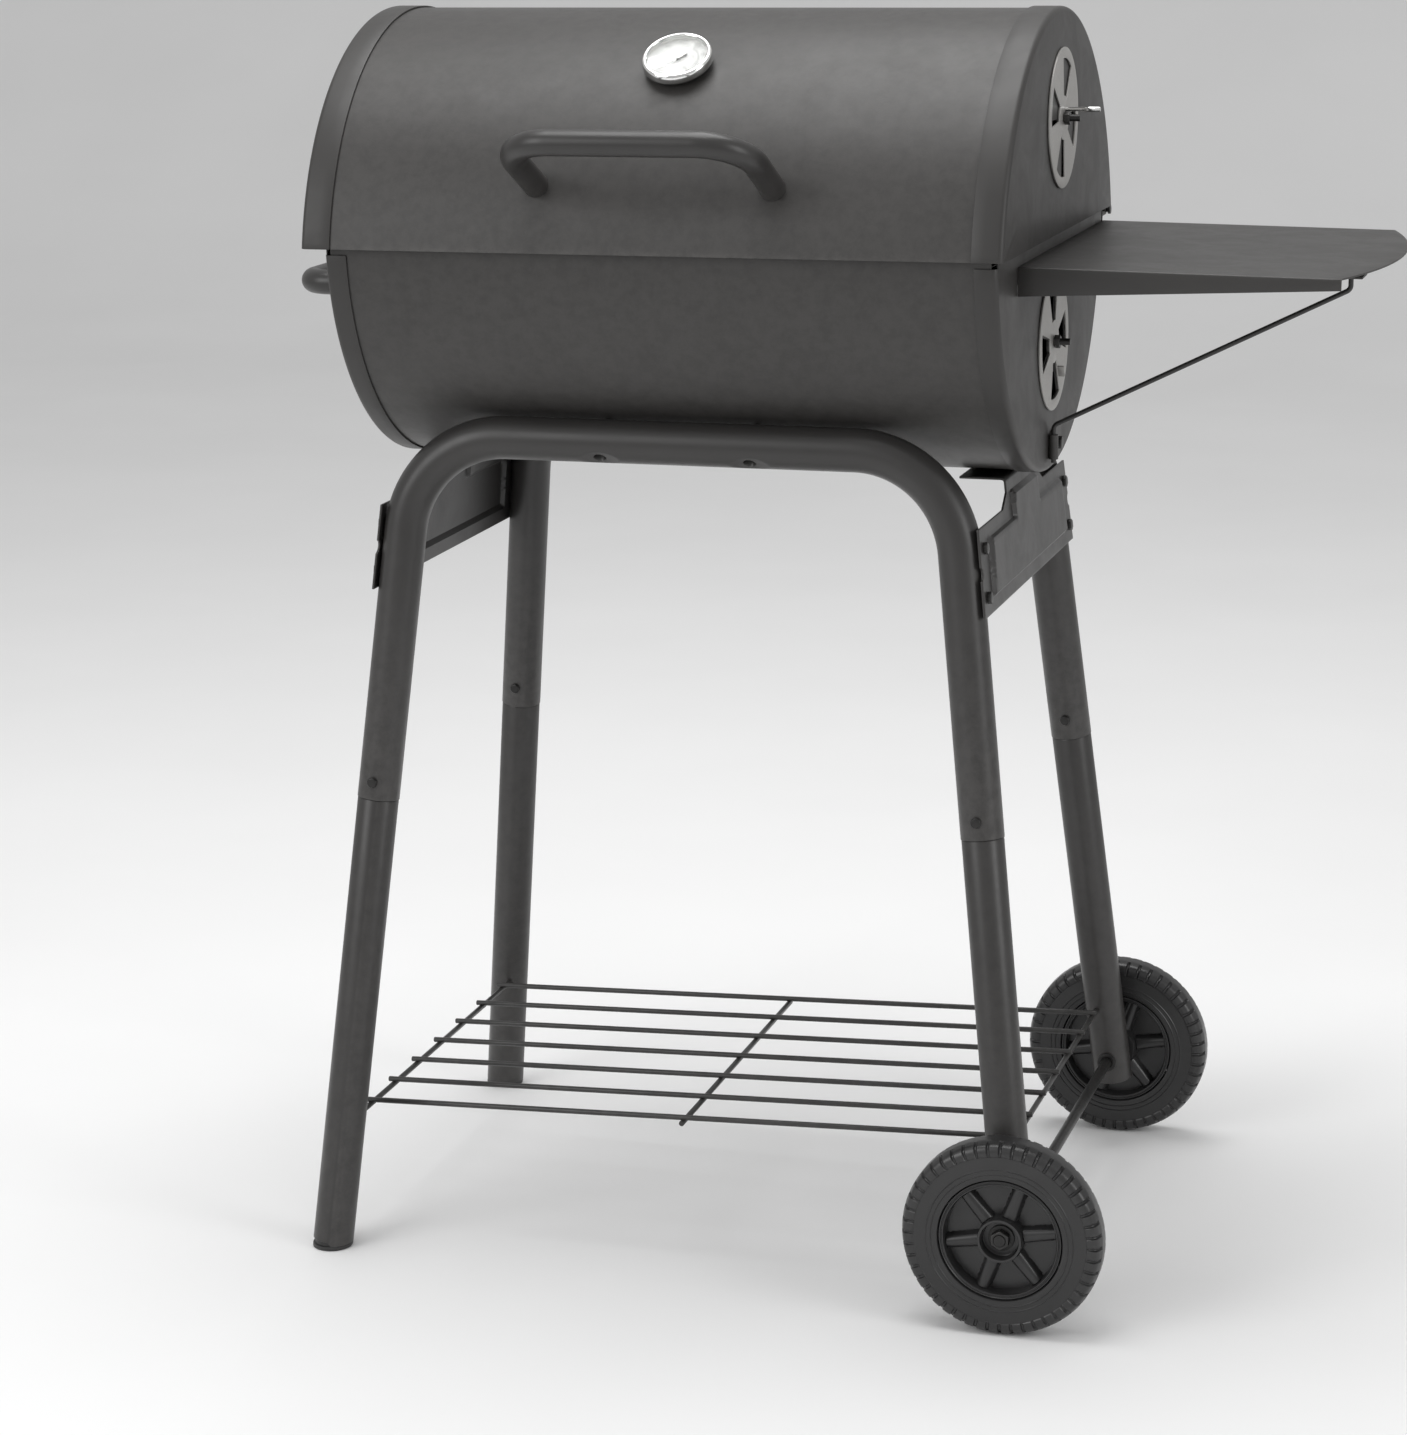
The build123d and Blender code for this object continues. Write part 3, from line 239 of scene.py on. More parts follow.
def route(corners, bend, steps=14):
    """Centreline through corners, each rounded by an arc of the bend radius, with its directions:
    point = start + bend (sin a x way in + (1 - cos a) x side), way = cos a x way in + sin a x side."""
    corners = np.array(corners, float)
    ways = unit(np.diff(corners, axis=0))
    points, tangents = [corners[:1]], [ways[:1]]
    for k in range(1, len(corners) - 1):
        turn = math.acos(float(ways[k - 1] @ ways[k]))
        side = unit(ways[k] - (ways[k] @ ways[k - 1]) * ways[k - 1])
        angle = np.linspace(0, turn, steps)[:, None]
        start = corners[k] - ways[k - 1] * bend * math.tan(turn / 2)
        points.append(start + bend * (np.sin(angle) * ways[k - 1] + (1 - np.cos(angle)) * side))
        tangents.append(np.cos(angle) * ways[k - 1] + np.sin(angle) * side)
    return np.vstack(points + [corners[-1:]]), np.vstack(tangents + [ways[-1:]])


def tube(points, tangents, normal, radius, angles):
    """Rings round a centreline in one plane: centre + radius (side cos a + plane normal sin a),
    where side = direction x plane normal. The radius may change with ring and angle."""
    normal = unit(normal)
    side = np.cross(tangents, normal)
    way = side[:, None] * np.cos(angles)[None, :, None] + normal * np.sin(angles)[None, :, None]
    return points[:, None] + np.broadcast_to(radius, (len(points), len(angles)))[..., None] * way


def even_angles(sides):
    return np.linspace(0, 2 * np.pi, sides, endpoint=False)


def bent_rod(corners, bend, radius, sides=20):
    """Solid bar along a bent line, closed by a fan at each end."""
    points, tangents = route(corners, bend)
    normal = np.cross(tangents[0], tangents[len(tangents) // 2])
    return outward(stitch(tube(points, tangents, normal, radius, even_angles(sides)), start="fan", end="fan"))


def smooth(t):
    """0 below 0, 1 above 1, 3 t squared - 2 t cubed between."""
    t = np.clip(t, 0, 1)
    return t * t * (3 - 2 * t)


# ---------------------------------------------------------------- material building
def material(name):
    """New node material: returns it, its node tree and its Principled shader."""
    made = bpy.data.materials.new(name)
    made.use_nodes = True
    return made, made.node_tree, made.node_tree.nodes["Principled BSDF"]


def feed(tree, node, values):
    """Each input, by name or number, is linked to the socket given for it or set to the value."""
    for key, value in values.items():
        if isinstance(value, bpy.types.NodeSocket):
            tree.links.new(value, node.inputs[key])
        else:
            node.inputs[key].default_value = value


def add(tree, kind, values=None, **settings):
    """One shader node with its settings and its inputs, as feed() takes them."""
    made = tree.nodes.new(kind)
    for key, value in settings.items():
        setattr(made, key, value)
    feed(tree, made, values or {})
    return made


def new_group(name, inputs, outputs):
    """Empty shader node group with named float or vector inputs and float outputs."""
    tree = bpy.data.node_groups.new(name, "ShaderNodeTree")
    for label, kind, value in inputs:
        socket = tree.interface.new_socket(label, in_out="INPUT", socket_type=kind)
        if value is not None:
            socket.default_value = value
    for label in outputs:
        tree.interface.new_socket(label, in_out="OUTPUT", socket_type="NodeSocketFloat")
    return tree, tree.nodes.new("NodeGroupInput"), tree.nodes.new("NodeGroupOutput")


def ranged(tree, value, low, high, to_low, to_high):
    """A value brought from one range to another."""
    return add(tree, "ShaderNodeMapRange", {0: value, 1: low, 2: high, 3: to_low, 4: to_high}).outputs[0]


FLOAT, VECTOR = "NodeSocketFloat", "NodeSocketVector"


def make_grain_group():
    """Fine grain of a coating: small noise for the orange peel and finer noise for its specks."""
    tree, into, out = new_group("coating grain", [("Where", VECTOR, None), ("Peel Scale", FLOAT, 900.0),
                                                  ("Speck Scale", FLOAT, 3000.0)], ["Height", "Specks"])
    where = into.outputs["Where"]
    peel = add(tree, "ShaderNodeTexNoise", {"Vector": where, "Scale": into.outputs["Peel Scale"],
                                            "Detail": 2.0, "Roughness": 0.5}).outputs[0]
    speck = add(tree, "ShaderNodeTexNoise", {"Vector": where, "Scale": into.outputs["Speck Scale"],
                                             "Detail": 1.0, "Roughness": 0.6}).outputs[0]
    both = add(tree, "ShaderNodeMath", {0: speck, 1: 0.35, 2: peel}, operation="MULTIPLY_ADD")
    feed(tree, out, {"Height": both.outputs[0], "Specks": ranged(tree, speck, 0.35, 0.65, 0.0, 1.0)})
    return tree


def make_drift_group():
    """Slow drift of tone over a surface, with cloudy handling marks for the gloss."""
    tree, into, out = new_group("tone drift", [("Where", VECTOR, None), ("Scale", FLOAT, 6.0)],
                                ["Tone", "Marks"])
    where, scale = into.outputs["Where"], into.outputs["Scale"]
    quick = add(tree, "ShaderNodeMath", {0: scale, 1: 4.3}, operation="MULTIPLY")
    slow = add(tree, "ShaderNodeTexNoise", {"Vector": where, "Scale": scale, "Detail": 3.0,
                                            "Roughness": 0.55})
    marks = add(tree, "ShaderNodeTexNoise", {"Vector": where, "Scale": quick.outputs[0], "Detail": 6.0,
                                             "Roughness": 0.7, "Distortion": 0.6})
    feed(tree, out, {"Tone": ranged(tree, slow.outputs[0], 0.3, 0.7, 0.0, 1.0),
                     "Marks": ranged(tree, marks.outputs[0], 0.4, 0.75, 0.0, 1.0)})
    return tree


def make_wear_group():
    """Wear along edges: the sharpness of the surface, broken up by noise."""
    tree, into, out = new_group("edge wear", [("Where", VECTOR, None), ("Start", FLOAT, 0.53),
                                              ("Full", FLOAT, 0.62)], ["Mask"])
    shape = add(tree, "ShaderNodeNewGeometry")
    noise = add(tree, "ShaderNodeTexNoise", {"Vector": into.outputs["Where"], "Scale": 90.0, "Detail": 4.0,
                                             "Roughness": 0.7})
    edge = ranged(tree, shape.outputs["Pointiness"], into.outputs["Start"], into.outputs["Full"], 0.0, 1.0)
    patches = ranged(tree, noise.outputs[0], 0.35, 0.6, 0.2, 1.0)
    broken = add(tree, "ShaderNodeMath", {0: edge, 1: patches}, operation="MULTIPLY", use_clamp=True)
    feed(tree, out, {"Mask": broken.outputs[0]})
    return tree


def make_brush_group():
    """Brushing lines: noise read from coordinates drawn out along one direction."""
    tree, into, out = new_group("brushing", [("Where", VECTOR, None), ("Stretch", VECTOR, (1.0, 1.0, 1.0)),
                                             ("Scale", FLOAT, 400.0)], ["Height", "Tone"])
    drawn = add(tree, "ShaderNodeVectorMath", {0: into.outputs["Where"], 1: into.outputs["Stretch"]},
                operation="MULTIPLY")
    noise = add(tree, "ShaderNodeTexNoise", {"Vector": drawn.outputs[0], "Scale": into.outputs["Scale"],
                                             "Detail": 3.0, "Roughness": 0.6}).outputs[0]
    feed(tree, out, {"Height": noise, "Tone": ranged(tree, noise, 0.3, 0.7, 0.0, 1.0)})
    return tree


GRAIN = make_grain_group()
DRIFT = make_drift_group()
WEAR = make_wear_group()
BRUSH = make_brush_group()


def group_node(tree, group, where, **values):
    """A node group read at the given coordinates."""
    made = add(tree, "ShaderNodeGroup", node_tree=group)
    feed(tree, made, {"Where": where, **{key.replace("_", " "): value for key, value in values.items()}})
    return made


def blended(tree, share, first, second):
    """Colour mix; first and second are either fixed colours or sockets."""
    ends = [(*value, 1.0) if isinstance(value, tuple) else value for value in (first, second)]
    return add(tree, "ShaderNodeMix", {0: share, 6: ends[0], 7: ends[1]}, data_type="RGBA").outputs[2]


def coat(name, dark, light, worn, rough, peel=700.0, bump=0.12, metallic=0.0, drift=5.0, specular=0.5,
         brush=None, brush_scale=300.0, wear_start=0.53, wear_full=0.64):
    """Painted, plated or moulded finish. Colour drifts between two tones, the grain darkens it a
    little, edges show the worn colour, and gloss changes with handling marks."""
    made, tree, shader = material(name)
    where = add(tree, "ShaderNodeTexCoord").outputs["Object"]
    tone = group_node(tree, DRIFT, where, Scale=drift)
    grain = group_node(tree, GRAIN, where, Peel_Scale=peel, Speck_Scale=peel * 3.1)
    wear = group_node(tree, WEAR, where, Start=wear_start, Full=wear_full)
    colour = blended(tree, tone.outputs["Tone"], dark, light)
    speck = tuple(c * 0.8 for c in dark)
    few = ranged(tree, grain.outputs["Specks"], 0.0, 1.0, 0.0, 0.35)
    colour = blended(tree, few, colour, speck)
    height = grain.outputs["Height"]
    if brush is not None:
        lines = group_node(tree, BRUSH, where, Stretch=brush, Scale=brush_scale)
        streak = ranged(tree, lines.outputs["Tone"], 0.0, 1.0, 0.0, 0.3)
        colour = blended(tree, streak, colour, tuple(min(1.0, c * 1.35) for c in light))
        height = lines.outputs["Height"]
    edge = ranged(tree, wear.outputs["Mask"], 0.0, 1.0, 0.0, 0.7)
    colour = blended(tree, edge, colour, worn)
    gloss = ranged(tree, tone.outputs["Marks"], 0.0, 1.0, rough - 0.04, rough + 0.06)
    relief = add(tree, "ShaderNodeBump", {"Strength": bump, "Distance": 0.0004, "Height": height})
    feed(tree, shader, {"Base Color": colour, "Roughness": gloss, "Metallic": metallic,
                        "Specular IOR Level": specular, "Normal": relief.outputs[0]})
    return made


def glass(name):
    """Clear cover glass with faint smears in its gloss."""
    made, tree, shader = material(name)
    where = add(tree, "ShaderNodeTexCoord").outputs["Object"]
    tone = group_node(tree, DRIFT, where, Scale=40.0)
    feed(tree, shader, {"Roughness": ranged(tree, tone.outputs["Marks"], 0.0, 1.0, 0.01, 0.05),
                        "Base Color": (0.97, 0.99, 0.98, 1.0), "Transmission Weight": 1.0, "IOR": 1.3,
                        "Alpha": 0.3})
    return made


FINISH = {
    "drum_coat": coat("textured powder coat", (0.029, 0.0275, 0.0262), (0.036, 0.0342, 0.0327),
                      (0.085, 0.081, 0.077), 0.47, peel=800.0, bump=0.10, specular=0.45),
    "frame_coat": coat("satin powder coat", (0.026, 0.0247, 0.0238), (0.033, 0.0313, 0.0302),
                       (0.085, 0.081, 0.078), 0.38, peel=650.0, bump=0.06, specular=0.5),
    "damper_steel": coat("bare damper steel", (0.36, 0.35, 0.335), (0.42, 0.41, 0.395),
                         (0.6, 0.59, 0.57), 0.46, peel=1400.0, bump=0.10, metallic=0.55,
                         brush=(1.0, 1.0, 8.0), brush_scale=260.0),
    "chrome": coat("bright rolled chrome", (0.78, 0.78, 0.77), (0.86, 0.86, 0.85),
                   (0.95, 0.95, 0.94), 0.12, peel=1500.0, bump=0.02, metallic=1.0,
                   brush=(1.0, 6.0, 6.0), brush_scale=200.0),
    "dial_white": coat("printed dial card", (0.80, 0.80, 0.78), (0.86, 0.86, 0.84),
                       (0.9, 0.9, 0.88), 0.45, peel=2200.0, bump=0.03, drift=30.0),
    "pointer_black": coat("matt black print", (0.012, 0.012, 0.012), (0.02, 0.02, 0.02),
                          (0.06, 0.06, 0.06), 0.5, peel=2500.0, bump=0.02, drift=30.0),
    "lens_glass": glass("cover glass"),
    "black_fastener": coat("black oxide", (0.014, 0.0138, 0.0135), (0.026, 0.025, 0.024),
                           (0.16, 0.155, 0.15), 0.38, peel=1800.0, bump=0.08, metallic=0.4, drift=60.0),
    "zinc_fastener": coat("zinc plate", (0.48, 0.475, 0.46), (0.58, 0.575, 0.56),
                          (0.75, 0.74, 0.72), 0.32, peel=1500.0, bump=0.08, metallic=0.95, drift=50.0),
    "wheel_plastic": coat("moulded wheel plastic", (0.014, 0.0138, 0.014), (0.022, 0.0215, 0.0218),
                          (0.055, 0.054, 0.054), 0.34, peel=500.0, bump=0.05, specular=0.55, drift=14.0),
    "foot_plastic": coat("moulded foot plastic", (0.014, 0.0138, 0.014), (0.024, 0.0235, 0.0235),
                         (0.06, 0.06, 0.06), 0.46, peel=700.0, bump=0.08, drift=30.0),
    "wire_coat": coat("coated wire", (0.018, 0.0175, 0.017), (0.028, 0.027, 0.026),
                      (0.09, 0.088, 0.085), 0.36, peel=900.0, bump=0.06, drift=20.0),
    "grate_steel": coat("plated grate wire", (0.34, 0.335, 0.325), (0.44, 0.435, 0.42),
                        (0.62, 0.61, 0.59), 0.34, peel=1200.0, bump=0.06, metallic=0.9, drift=25.0),
}


# ---------------------------------------------------------------- pieces
def linked(label, data):
    """New object in the scene's collection."""
    made = bpy.data.objects.new(label, data)
    bpy.context.scene.collection.objects.link(made)
    return made


def place(label, skins):
    """Object made of one or more skins, its points turned into metres in the shared frame."""
    mesh = bpy.data.meshes.new(label)
    points, faces, count = [], [], 0
    for skin_points, skin_faces in skins:
        points.append(skin_points)
        faces += [row for group in skin_faces for row in (group + count).tolist()]
        count += len(skin_points)
    mesh.from_pydata(((np.vstack(points) + MIDDLE) * MM).tolist(), [], faces)
    return linked(label, mesh)


def merge(made, towards=None):
    """Doubles merged; an open skin's faces are made to agree and to look along a direction."""
    work = bmesh.new()
    work.from_mesh(made.data)
    bmesh.ops.remove_doubles(work, verts=work.verts, dist=2e-6)
    if towards is not None:
        bmesh.ops.recalc_face_normals(work, faces=work.faces)
        total = sum((face.normal * face.calc_area() for face in work.faces), Vector())
        if total.dot(Vector(towards)) < 0:
            bmesh.ops.reverse_faces(work, faces=work.faces)
    work.to_mesh(made.data)
    work.free()


def finish(made, thick=0.0, ease=0.0, ease_angle=40.0, crease=35.0, segments=2):
    """Wall thickness inwards, eased edges, then smooth shading except along sharp edges."""
    if thick:
        wall = made.modifiers.new("wall", "SOLIDIFY")
        wall.thickness = thick * MM
        wall.offset = -1.0
        wall.use_even_offset = True
    if ease:
        edge = made.modifiers.new("edge", "BEVEL")
        edge.width = ease * MM
        edge.segments = segments
        edge.limit_method = "ANGLE"
        edge.angle_limit = math.radians(ease_angle)
        edge.harden_normals = False
    if thick or ease:
        seen = made.evaluated_get(bpy.context.evaluated_depsgraph_get())
        made.data = bpy.data.meshes.new_from_object(seen)
        made.modifiers.clear()
    made.data.shade_smooth()
    made.data.set_sharp_from_angle(angle=math.radians(crease))


def assign(made, node, slot=None):
    """Finish, body and material slot of the CAD node that the piece stands for."""
    name = slot or SLOT_OF[node]
    made.data.materials.clear()
    made.data.materials.append(FINISH[name])
    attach(made, BODY_OF[node])
    return made


def piece(label, node, skins, towards=None, slot=None, stand_in=True, **how):
    """One finished piece that rides with a CAD node and, unless told otherwise, replaces it."""
    made = place(label, skins if isinstance(skins, list) else [skins])
    merge(made, towards)
    finish(made, **how)
    assign(made, node, slot)
    if stand_in:
        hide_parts(node)
    return made


def softened(label, node, ease, crease=35.0):
    """Copy of a CAD node with its doubles merged, its flat faces joined and its edges eased."""
    made = linked(label, frame["nodes"][node].data.copy())
    work = bmesh.new()
    work.from_mesh(made.data)
    bmesh.ops.remove_doubles(work, verts=work.verts, dist=2e-6)
    bmesh.ops.dissolve_limit(work, angle_limit=math.radians(1.0), verts=work.verts, edges=work.edges)
    work.to_mesh(made.data)
    work.free()
    finish(made, ease=ease, crease=crease)
    assign(made, node)
    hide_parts(node)
    return made


# ---------------------------------------------------------------- barrel
def rolled(radius, centre_z, x0, x1, from_deg, to_deg, count=150):
    """Rolled sheet: a thin rectangle of (x, radius) carried round an arc,
    point = (x, radius cos a, centre + radius sin a)."""
    inner = radius - SHEET
    soft = 0.3
    section = np.array([(x0, radius - soft), (x0 + soft, radius), (x1 - soft, radius), (x1, radius - soft),
                        (x1, inner), (x0, inner)])
    angle = np.radians(np.linspace(from_deg, to_deg, count))[:, None]
    rings = np.stack([np.broadcast_to(section[:, 0], (count, 6)), section[:, 1] * np.cos(angle),
                      centre_z + section[:, 1] * np.sin(angle)], axis=-1)
    return outward(stitch(rings, start="face", end="face"))


def with_marks(step, marks, clear=0.9):
    """Directions every few degrees, with the marked ones put in and their near neighbours left out."""
    marks = np.mod(np.array(marks, float), 360.0)
    even = np.arange(0.0, 360.0, step)
    gap = np.abs((even[:, None] - marks[None] + 180.0) % 360.0 - 180.0)
    return np.sort(np.concatenate([even[gap.min(axis=1) > clear], np.unique(marks.round(6))]))


def slotted_face(face_x, hub_z, reach, directions, slots, hole, fractions):
    """Flat face on rays from a hub: rings at the hole, the slots' inner and outer radius, and at
    fractions of the way to the rim. Cells inside a slot are left open."""
    angle = np.radians(directions)
    inner, outer, half, turn = slots
    radii = [np.full(len(angle), r) for r in (hole, inner, outer)]
    radii += [outer + (reach - outer) * f for f in fractions]
    radii = np.array(radii)
    rings = np.stack([np.full(radii.shape, face_x), radii * np.cos(angle), hub_z + radii * np.sin(angle)],
                     axis=-1)
    points, (quads,) = stitch(rings)
    middle = directions + np.diff(np.append(directions, directions[0] + 360.0)) / 2
    off = np.abs((middle - turn + 45.0) % 90.0 - 45.0)
    open_cell = np.zeros((len(radii) - 1, len(angle)), bool)
    open_cell[1] = off < half
    return points, [quads[~open_cell.reshape(-1)]]


def pressed_cap(radius, centre_z, cut_z, lid, face_x, side, flange, hub_z, slots=None):
    """Pressed end cap: flat face on rays from a hub to an arc or to the straight edge, then a
    rounded corner and a flange. At radius r the arc runs between the two angles where it meets
    the straight edge, asin((edge - centre) / r) and its mirror, and each ray keeps its share."""
    flat_r = radius - CORNER

    def arc_ends(r):
        low = np.arcsin((cut_z - centre_z) / r)
        return (low, np.pi - low) if lid else (np.pi - low, 2 * np.pi + low)

    edge_y = math.sqrt(flat_r ** 2 - (cut_z - centre_z) ** 2)
    corners = [math.degrees(math.atan2(cut_z - hub_z, s * edge_y)) for s in (-1, 1)]
    marks = list(corners)
    if slots:
        inner, outer, half, turn = slots
        marks += [turn + 90 * q + s * half for q in range(4) for s in (-1, 1)]
    directions = with_marks(2.5, marks)
    angle = np.radians(directions)
    way = np.stack([np.cos(angle), np.sin(angle)], axis=-1)
    drop = hub_z - centre_z
    b = way[:, 1] * drop
    arc = -b + np.sqrt(b * b - drop * drop + flat_r ** 2)
    with np.errstate(divide="ignore"):
        chord = (cut_z - hub_z) / way[:, 1]
    chord = np.where(chord > 0, chord, np.inf)
    reach = np.minimum(arc, chord)
    if slots:
        skins = [slotted_face(face_x, hub_z, reach, directions, slots, 3.2, (0.3, 0.65, 1.0))]
    else:
        rings = np.stack([np.stack([np.full(len(angle), face_x), reach * f * way[:, 0],
                                    hub_z + reach * f * way[:, 1]], axis=-1) for f in (0.02, 0.5, 1.0)])
        skins = [stitch(rings, start="fan")]
    on_arc = arc <= chord + 1e-6
    phi = np.arctan2(hub_z + reach * way[:, 1] - centre_z, reach * way[:, 0])[on_arc]
    start, end = arc_ends(flat_r)
    phi = start + np.mod(phi - start + 0.5, 2 * np.pi) - 0.5
    share = np.sort((phi - start) / (end - start))
    bend = np.radians(np.linspace(0, 90, 8))
    rows = [(CORNER * (1 - math.cos(a)), flat_r + CORNER * math.sin(a)) for a in bend]
    rows += [(flange * 0.6, radius), (flange, radius)]
    rings = []
    for depth, r in rows:
        first, last = arc_ends(r)
        at = first + share * (last - first)
        rings.append(np.stack([np.full(len(at), face_x - side * depth), r * np.cos(at),
                               centre_z + r * np.sin(at)], axis=-1))
    skins.append(stitch(np.stack(rings), wrap=False))
    return skins


rim_deg = math.degrees(math.asin((RIM_Z - FIREBOX_Z) / (FIREBOX_R - SHELL_GAP)))
edge_deg = math.degrees(math.asin((LID_EDGE_Z - LID_Z) / (LID_R - SHELL_GAP)))
shell_low, shell_high = span("firebox_shell")
roof_low, roof_high = span("lid_shell")
piece("rolled_firebox", "firebox_shell",
      rolled(FIREBOX_R - SHELL_GAP, FIREBOX_Z, shell_low[0], shell_high[0], 180 - rim_deg, 360 + rim_deg))
piece("rolled_lid", "lid_shell",
      rolled(LID_R - SHELL_GAP, LID_Z, roof_low[0], roof_high[0], edge_deg, 180 - edge_deg))

SLOT_IN, SLOT_OUT, CAP_HALF, DISC_HALF = 19.0, 51.0, 18.0, 20.0
UPPER_CAP_TURN, UPPER_DISC_TURN, LOWER_CAP_TURN, LOWER_DISC_TURN = 17.0, -15.0, 6.0, 6.0
UPPER_HUB_Z = PIVOT["upper_damper_turn"][2]
LOWER_HUB_Z = PIVOT["lower_damper_turn"][2]
firebox_shape = (FIREBOX_R, FIREBOX_Z, RIM_Z, False)
lid_shape = (LID_R, LID_Z, LID_EDGE_Z, True)
for label, node, shape, face_x, side, flange, hub_z, slots in (
        ("left_firebox_end", "firebox_cap_left", firebox_shape, -FIREBOX_FACE, -1, FIREBOX_FLANGE,
         LOWER_HUB_Z, None),
        ("right_firebox_end", "firebox_cap_right", firebox_shape, FIREBOX_FACE, 1, FIREBOX_FLANGE,
         LOWER_HUB_Z, (SLOT_IN, SLOT_OUT, CAP_HALF, LOWER_CAP_TURN)),
        ("left_lid_end", "lid_cap_left", lid_shape, LID_LEFT, -1, LID_FLANGE, UPPER_HUB_Z, None),
        ("right_lid_end", "lid_cap_right", lid_shape, LID_RIGHT, 1, LID_FLANGE, UPPER_HUB_Z,
         (SLOT_IN, SLOT_OUT, CAP_HALF, UPPER_CAP_TURN))):
    piece(label, node, pressed_cap(*shape, face_x, side, flange, hub_z, slots),
          towards=(side, 0, 0), thick=SHEET, ease=0.35, ease_angle=50)

# ---------------------------------------------------------------- bent grips
HANDLE_R = 11.0
HANDLE_HALF = 110.0
HANDLE_BEND = 22.0
GRIP_HALF, GRIP_BEND, GRIP_REACH = 104.5, 43.0, 94.0
grip_angle, grip_rise = math.radians(24.6), math.radians(27.0)
GRIP_WAY = np.array([0.0, -math.cos(grip_rise), math.sin(grip_rise)])
grip_foot = np.array([0.0, -LID_R * math.cos(grip_angle), LID_Z + LID_R * math.sin(grip_angle)])


def lid_grip():
    """Bent tube whose feet are coped to the lid: each point of an end ring slides along the foot's
    direction until its distance from the lid's axis is the lid's radius."""
    out = GRIP_WAY * GRIP_REACH
    left, right = grip_foot - [GRIP_HALF, 0, 0], grip_foot + [GRIP_HALF, 0, 0]
    points, tangents = route([left, left + out, right + out, right], GRIP_BEND, steps=24)
    rings = tube(points, tangents, np.cross(GRIP_WAY, [1.0, 0, 0]), HANDLE_R, even_angles(48))
    goal = LID_R - SHELL_GAP + 0.1
    for row in (0, -1):
        flat = rings[row][:, 1:] - [0.0, LID_Z]
        along = flat @ GRIP_WAY[1:]
        slide = -along + np.sqrt(along ** 2 - (flat ** 2).sum(axis=1) + goal ** 2)
        rings[row] += slide[:, None] * GRIP_WAY
    return outward(stitch(rings, start="fan", end="fan"))


def side_grip():
    """Bent tube standing off the left end cap, its feet cut square."""
    low, high = span("side_handle")
    z = (low[2] + high[2]) / 2
    foot_x, out_x = high[0], low[0] + HANDLE_R
    corners = [(foot_x, -HANDLE_HALF, z), (out_x, -HANDLE_HALF, z), (out_x, HANDLE_HALF, z),
               (foot_x, HANDLE_HALF, z)]
    points, tangents = route(corners, HANDLE_BEND, steps=18)
    rings = tube(points, tangents, (0.0, 0.0, 1.0), HANDLE_R, even_angles(48))
    return outward(stitch(rings, start="fan", end="fan"))


piece("lid_grip_tube", "lid_handle", lid_grip())
piece("end_grip_tube", "side_handle", side_grip())

# ---------------------------------------------------------------- tube stand
FRAME_BEND = 95.0
BOLT_X = 68.0
AXLE_END_Z = 66.0


def leg_at(side, row, z):
    """Point on a leg axis at a height: foot + (knee - foot) z / knee height."""
    part = z / KNEE[2]
    spot = FOOT + (KNEE - FOOT) * part
    return np.array([side * spot[0], row * spot[1], z])


def frame_tube(row):
    """Bent pipe: two legs and a top bar. Near each drum bolt the underside is pressed flat,
    radius = min(tube radius, flat height / cos of the angle from straight down), where the flat
    rises towards the bolt as d (1 - (distance / half length) squared), and a round pocket lets
    the bolt in."""
    ends = [leg_at(-1, row, JOINT_Z + 0.2), leg_at(-1, row, KNEE[2]), leg_at(1, row, KNEE[2]),
            leg_at(1, row, JOINT_Z + 0.2)]
    points, tangents = route(ends, FRAME_BEND, steps=26)
    fine = np.unique(np.concatenate([np.linspace(-20, 20, 21), np.linspace(-7, 7, 25)]).round(3))
    stations = np.concatenate([-BOLT_X + fine, [0.0], BOLT_X + fine])
    bar = np.stack([stations, np.full(len(stations), row * KNEE[1]), np.full(len(stations), KNEE[2])], axis=1)
    half = len(points) // 2
    points = np.vstack([points[:half], bar, points[half:]])
    tangents = np.vstack([tangents[:half], np.tile([1.0, 0, 0], (len(bar), 1)), tangents[half:]])
    normal = unit(np.cross([1.0, 0, 0], unit(ends[1] - ends[0])))
    into_drum = unit([0.0, -row * KNEE[1], FIREBOX_Z - KNEE[2]])
    down = math.atan2(-into_drum @ normal, -into_drum @ np.cross([1.0, 0, 0], normal))
    spread = np.radians(np.concatenate([np.linspace(-33, 33, 34), np.linspace(40, 320, 36)]))
    angles = down + spread
    along = np.abs(np.abs(points[:, 0]) - BOLT_X)
    straight = np.isin(points[:, 0].round(3), stations.round(3)) & (points[:, 2] > KNEE[2] - 1)
    along = np.where(straight, along, 1e3)[:, None]
    off = np.abs((spread + np.pi) % (2 * np.pi) - np.pi)[None]
    flat = TUBE_R - 2.2 * np.clip(1 - (along / 18.0) ** 2, 0, 1)
    outer = np.minimum(TUBE_R, flat / np.maximum(np.cos(np.minimum(off, 1.2)), 0.2))
    lean = TUBE_R * np.sin(np.minimum(off, np.pi / 2))
    pocket = smooth((5.6 - np.hypot(along, lean)) / 0.9)
    outer = outer - 7.0 * pocket
    skins = np.concatenate([tube(points, tangents, normal, outer, angles),
                            tube(points, tangents, normal, outer - TUBE_WALL, angles)[::-1]])
    return outward(stitch(skins, loop=True))


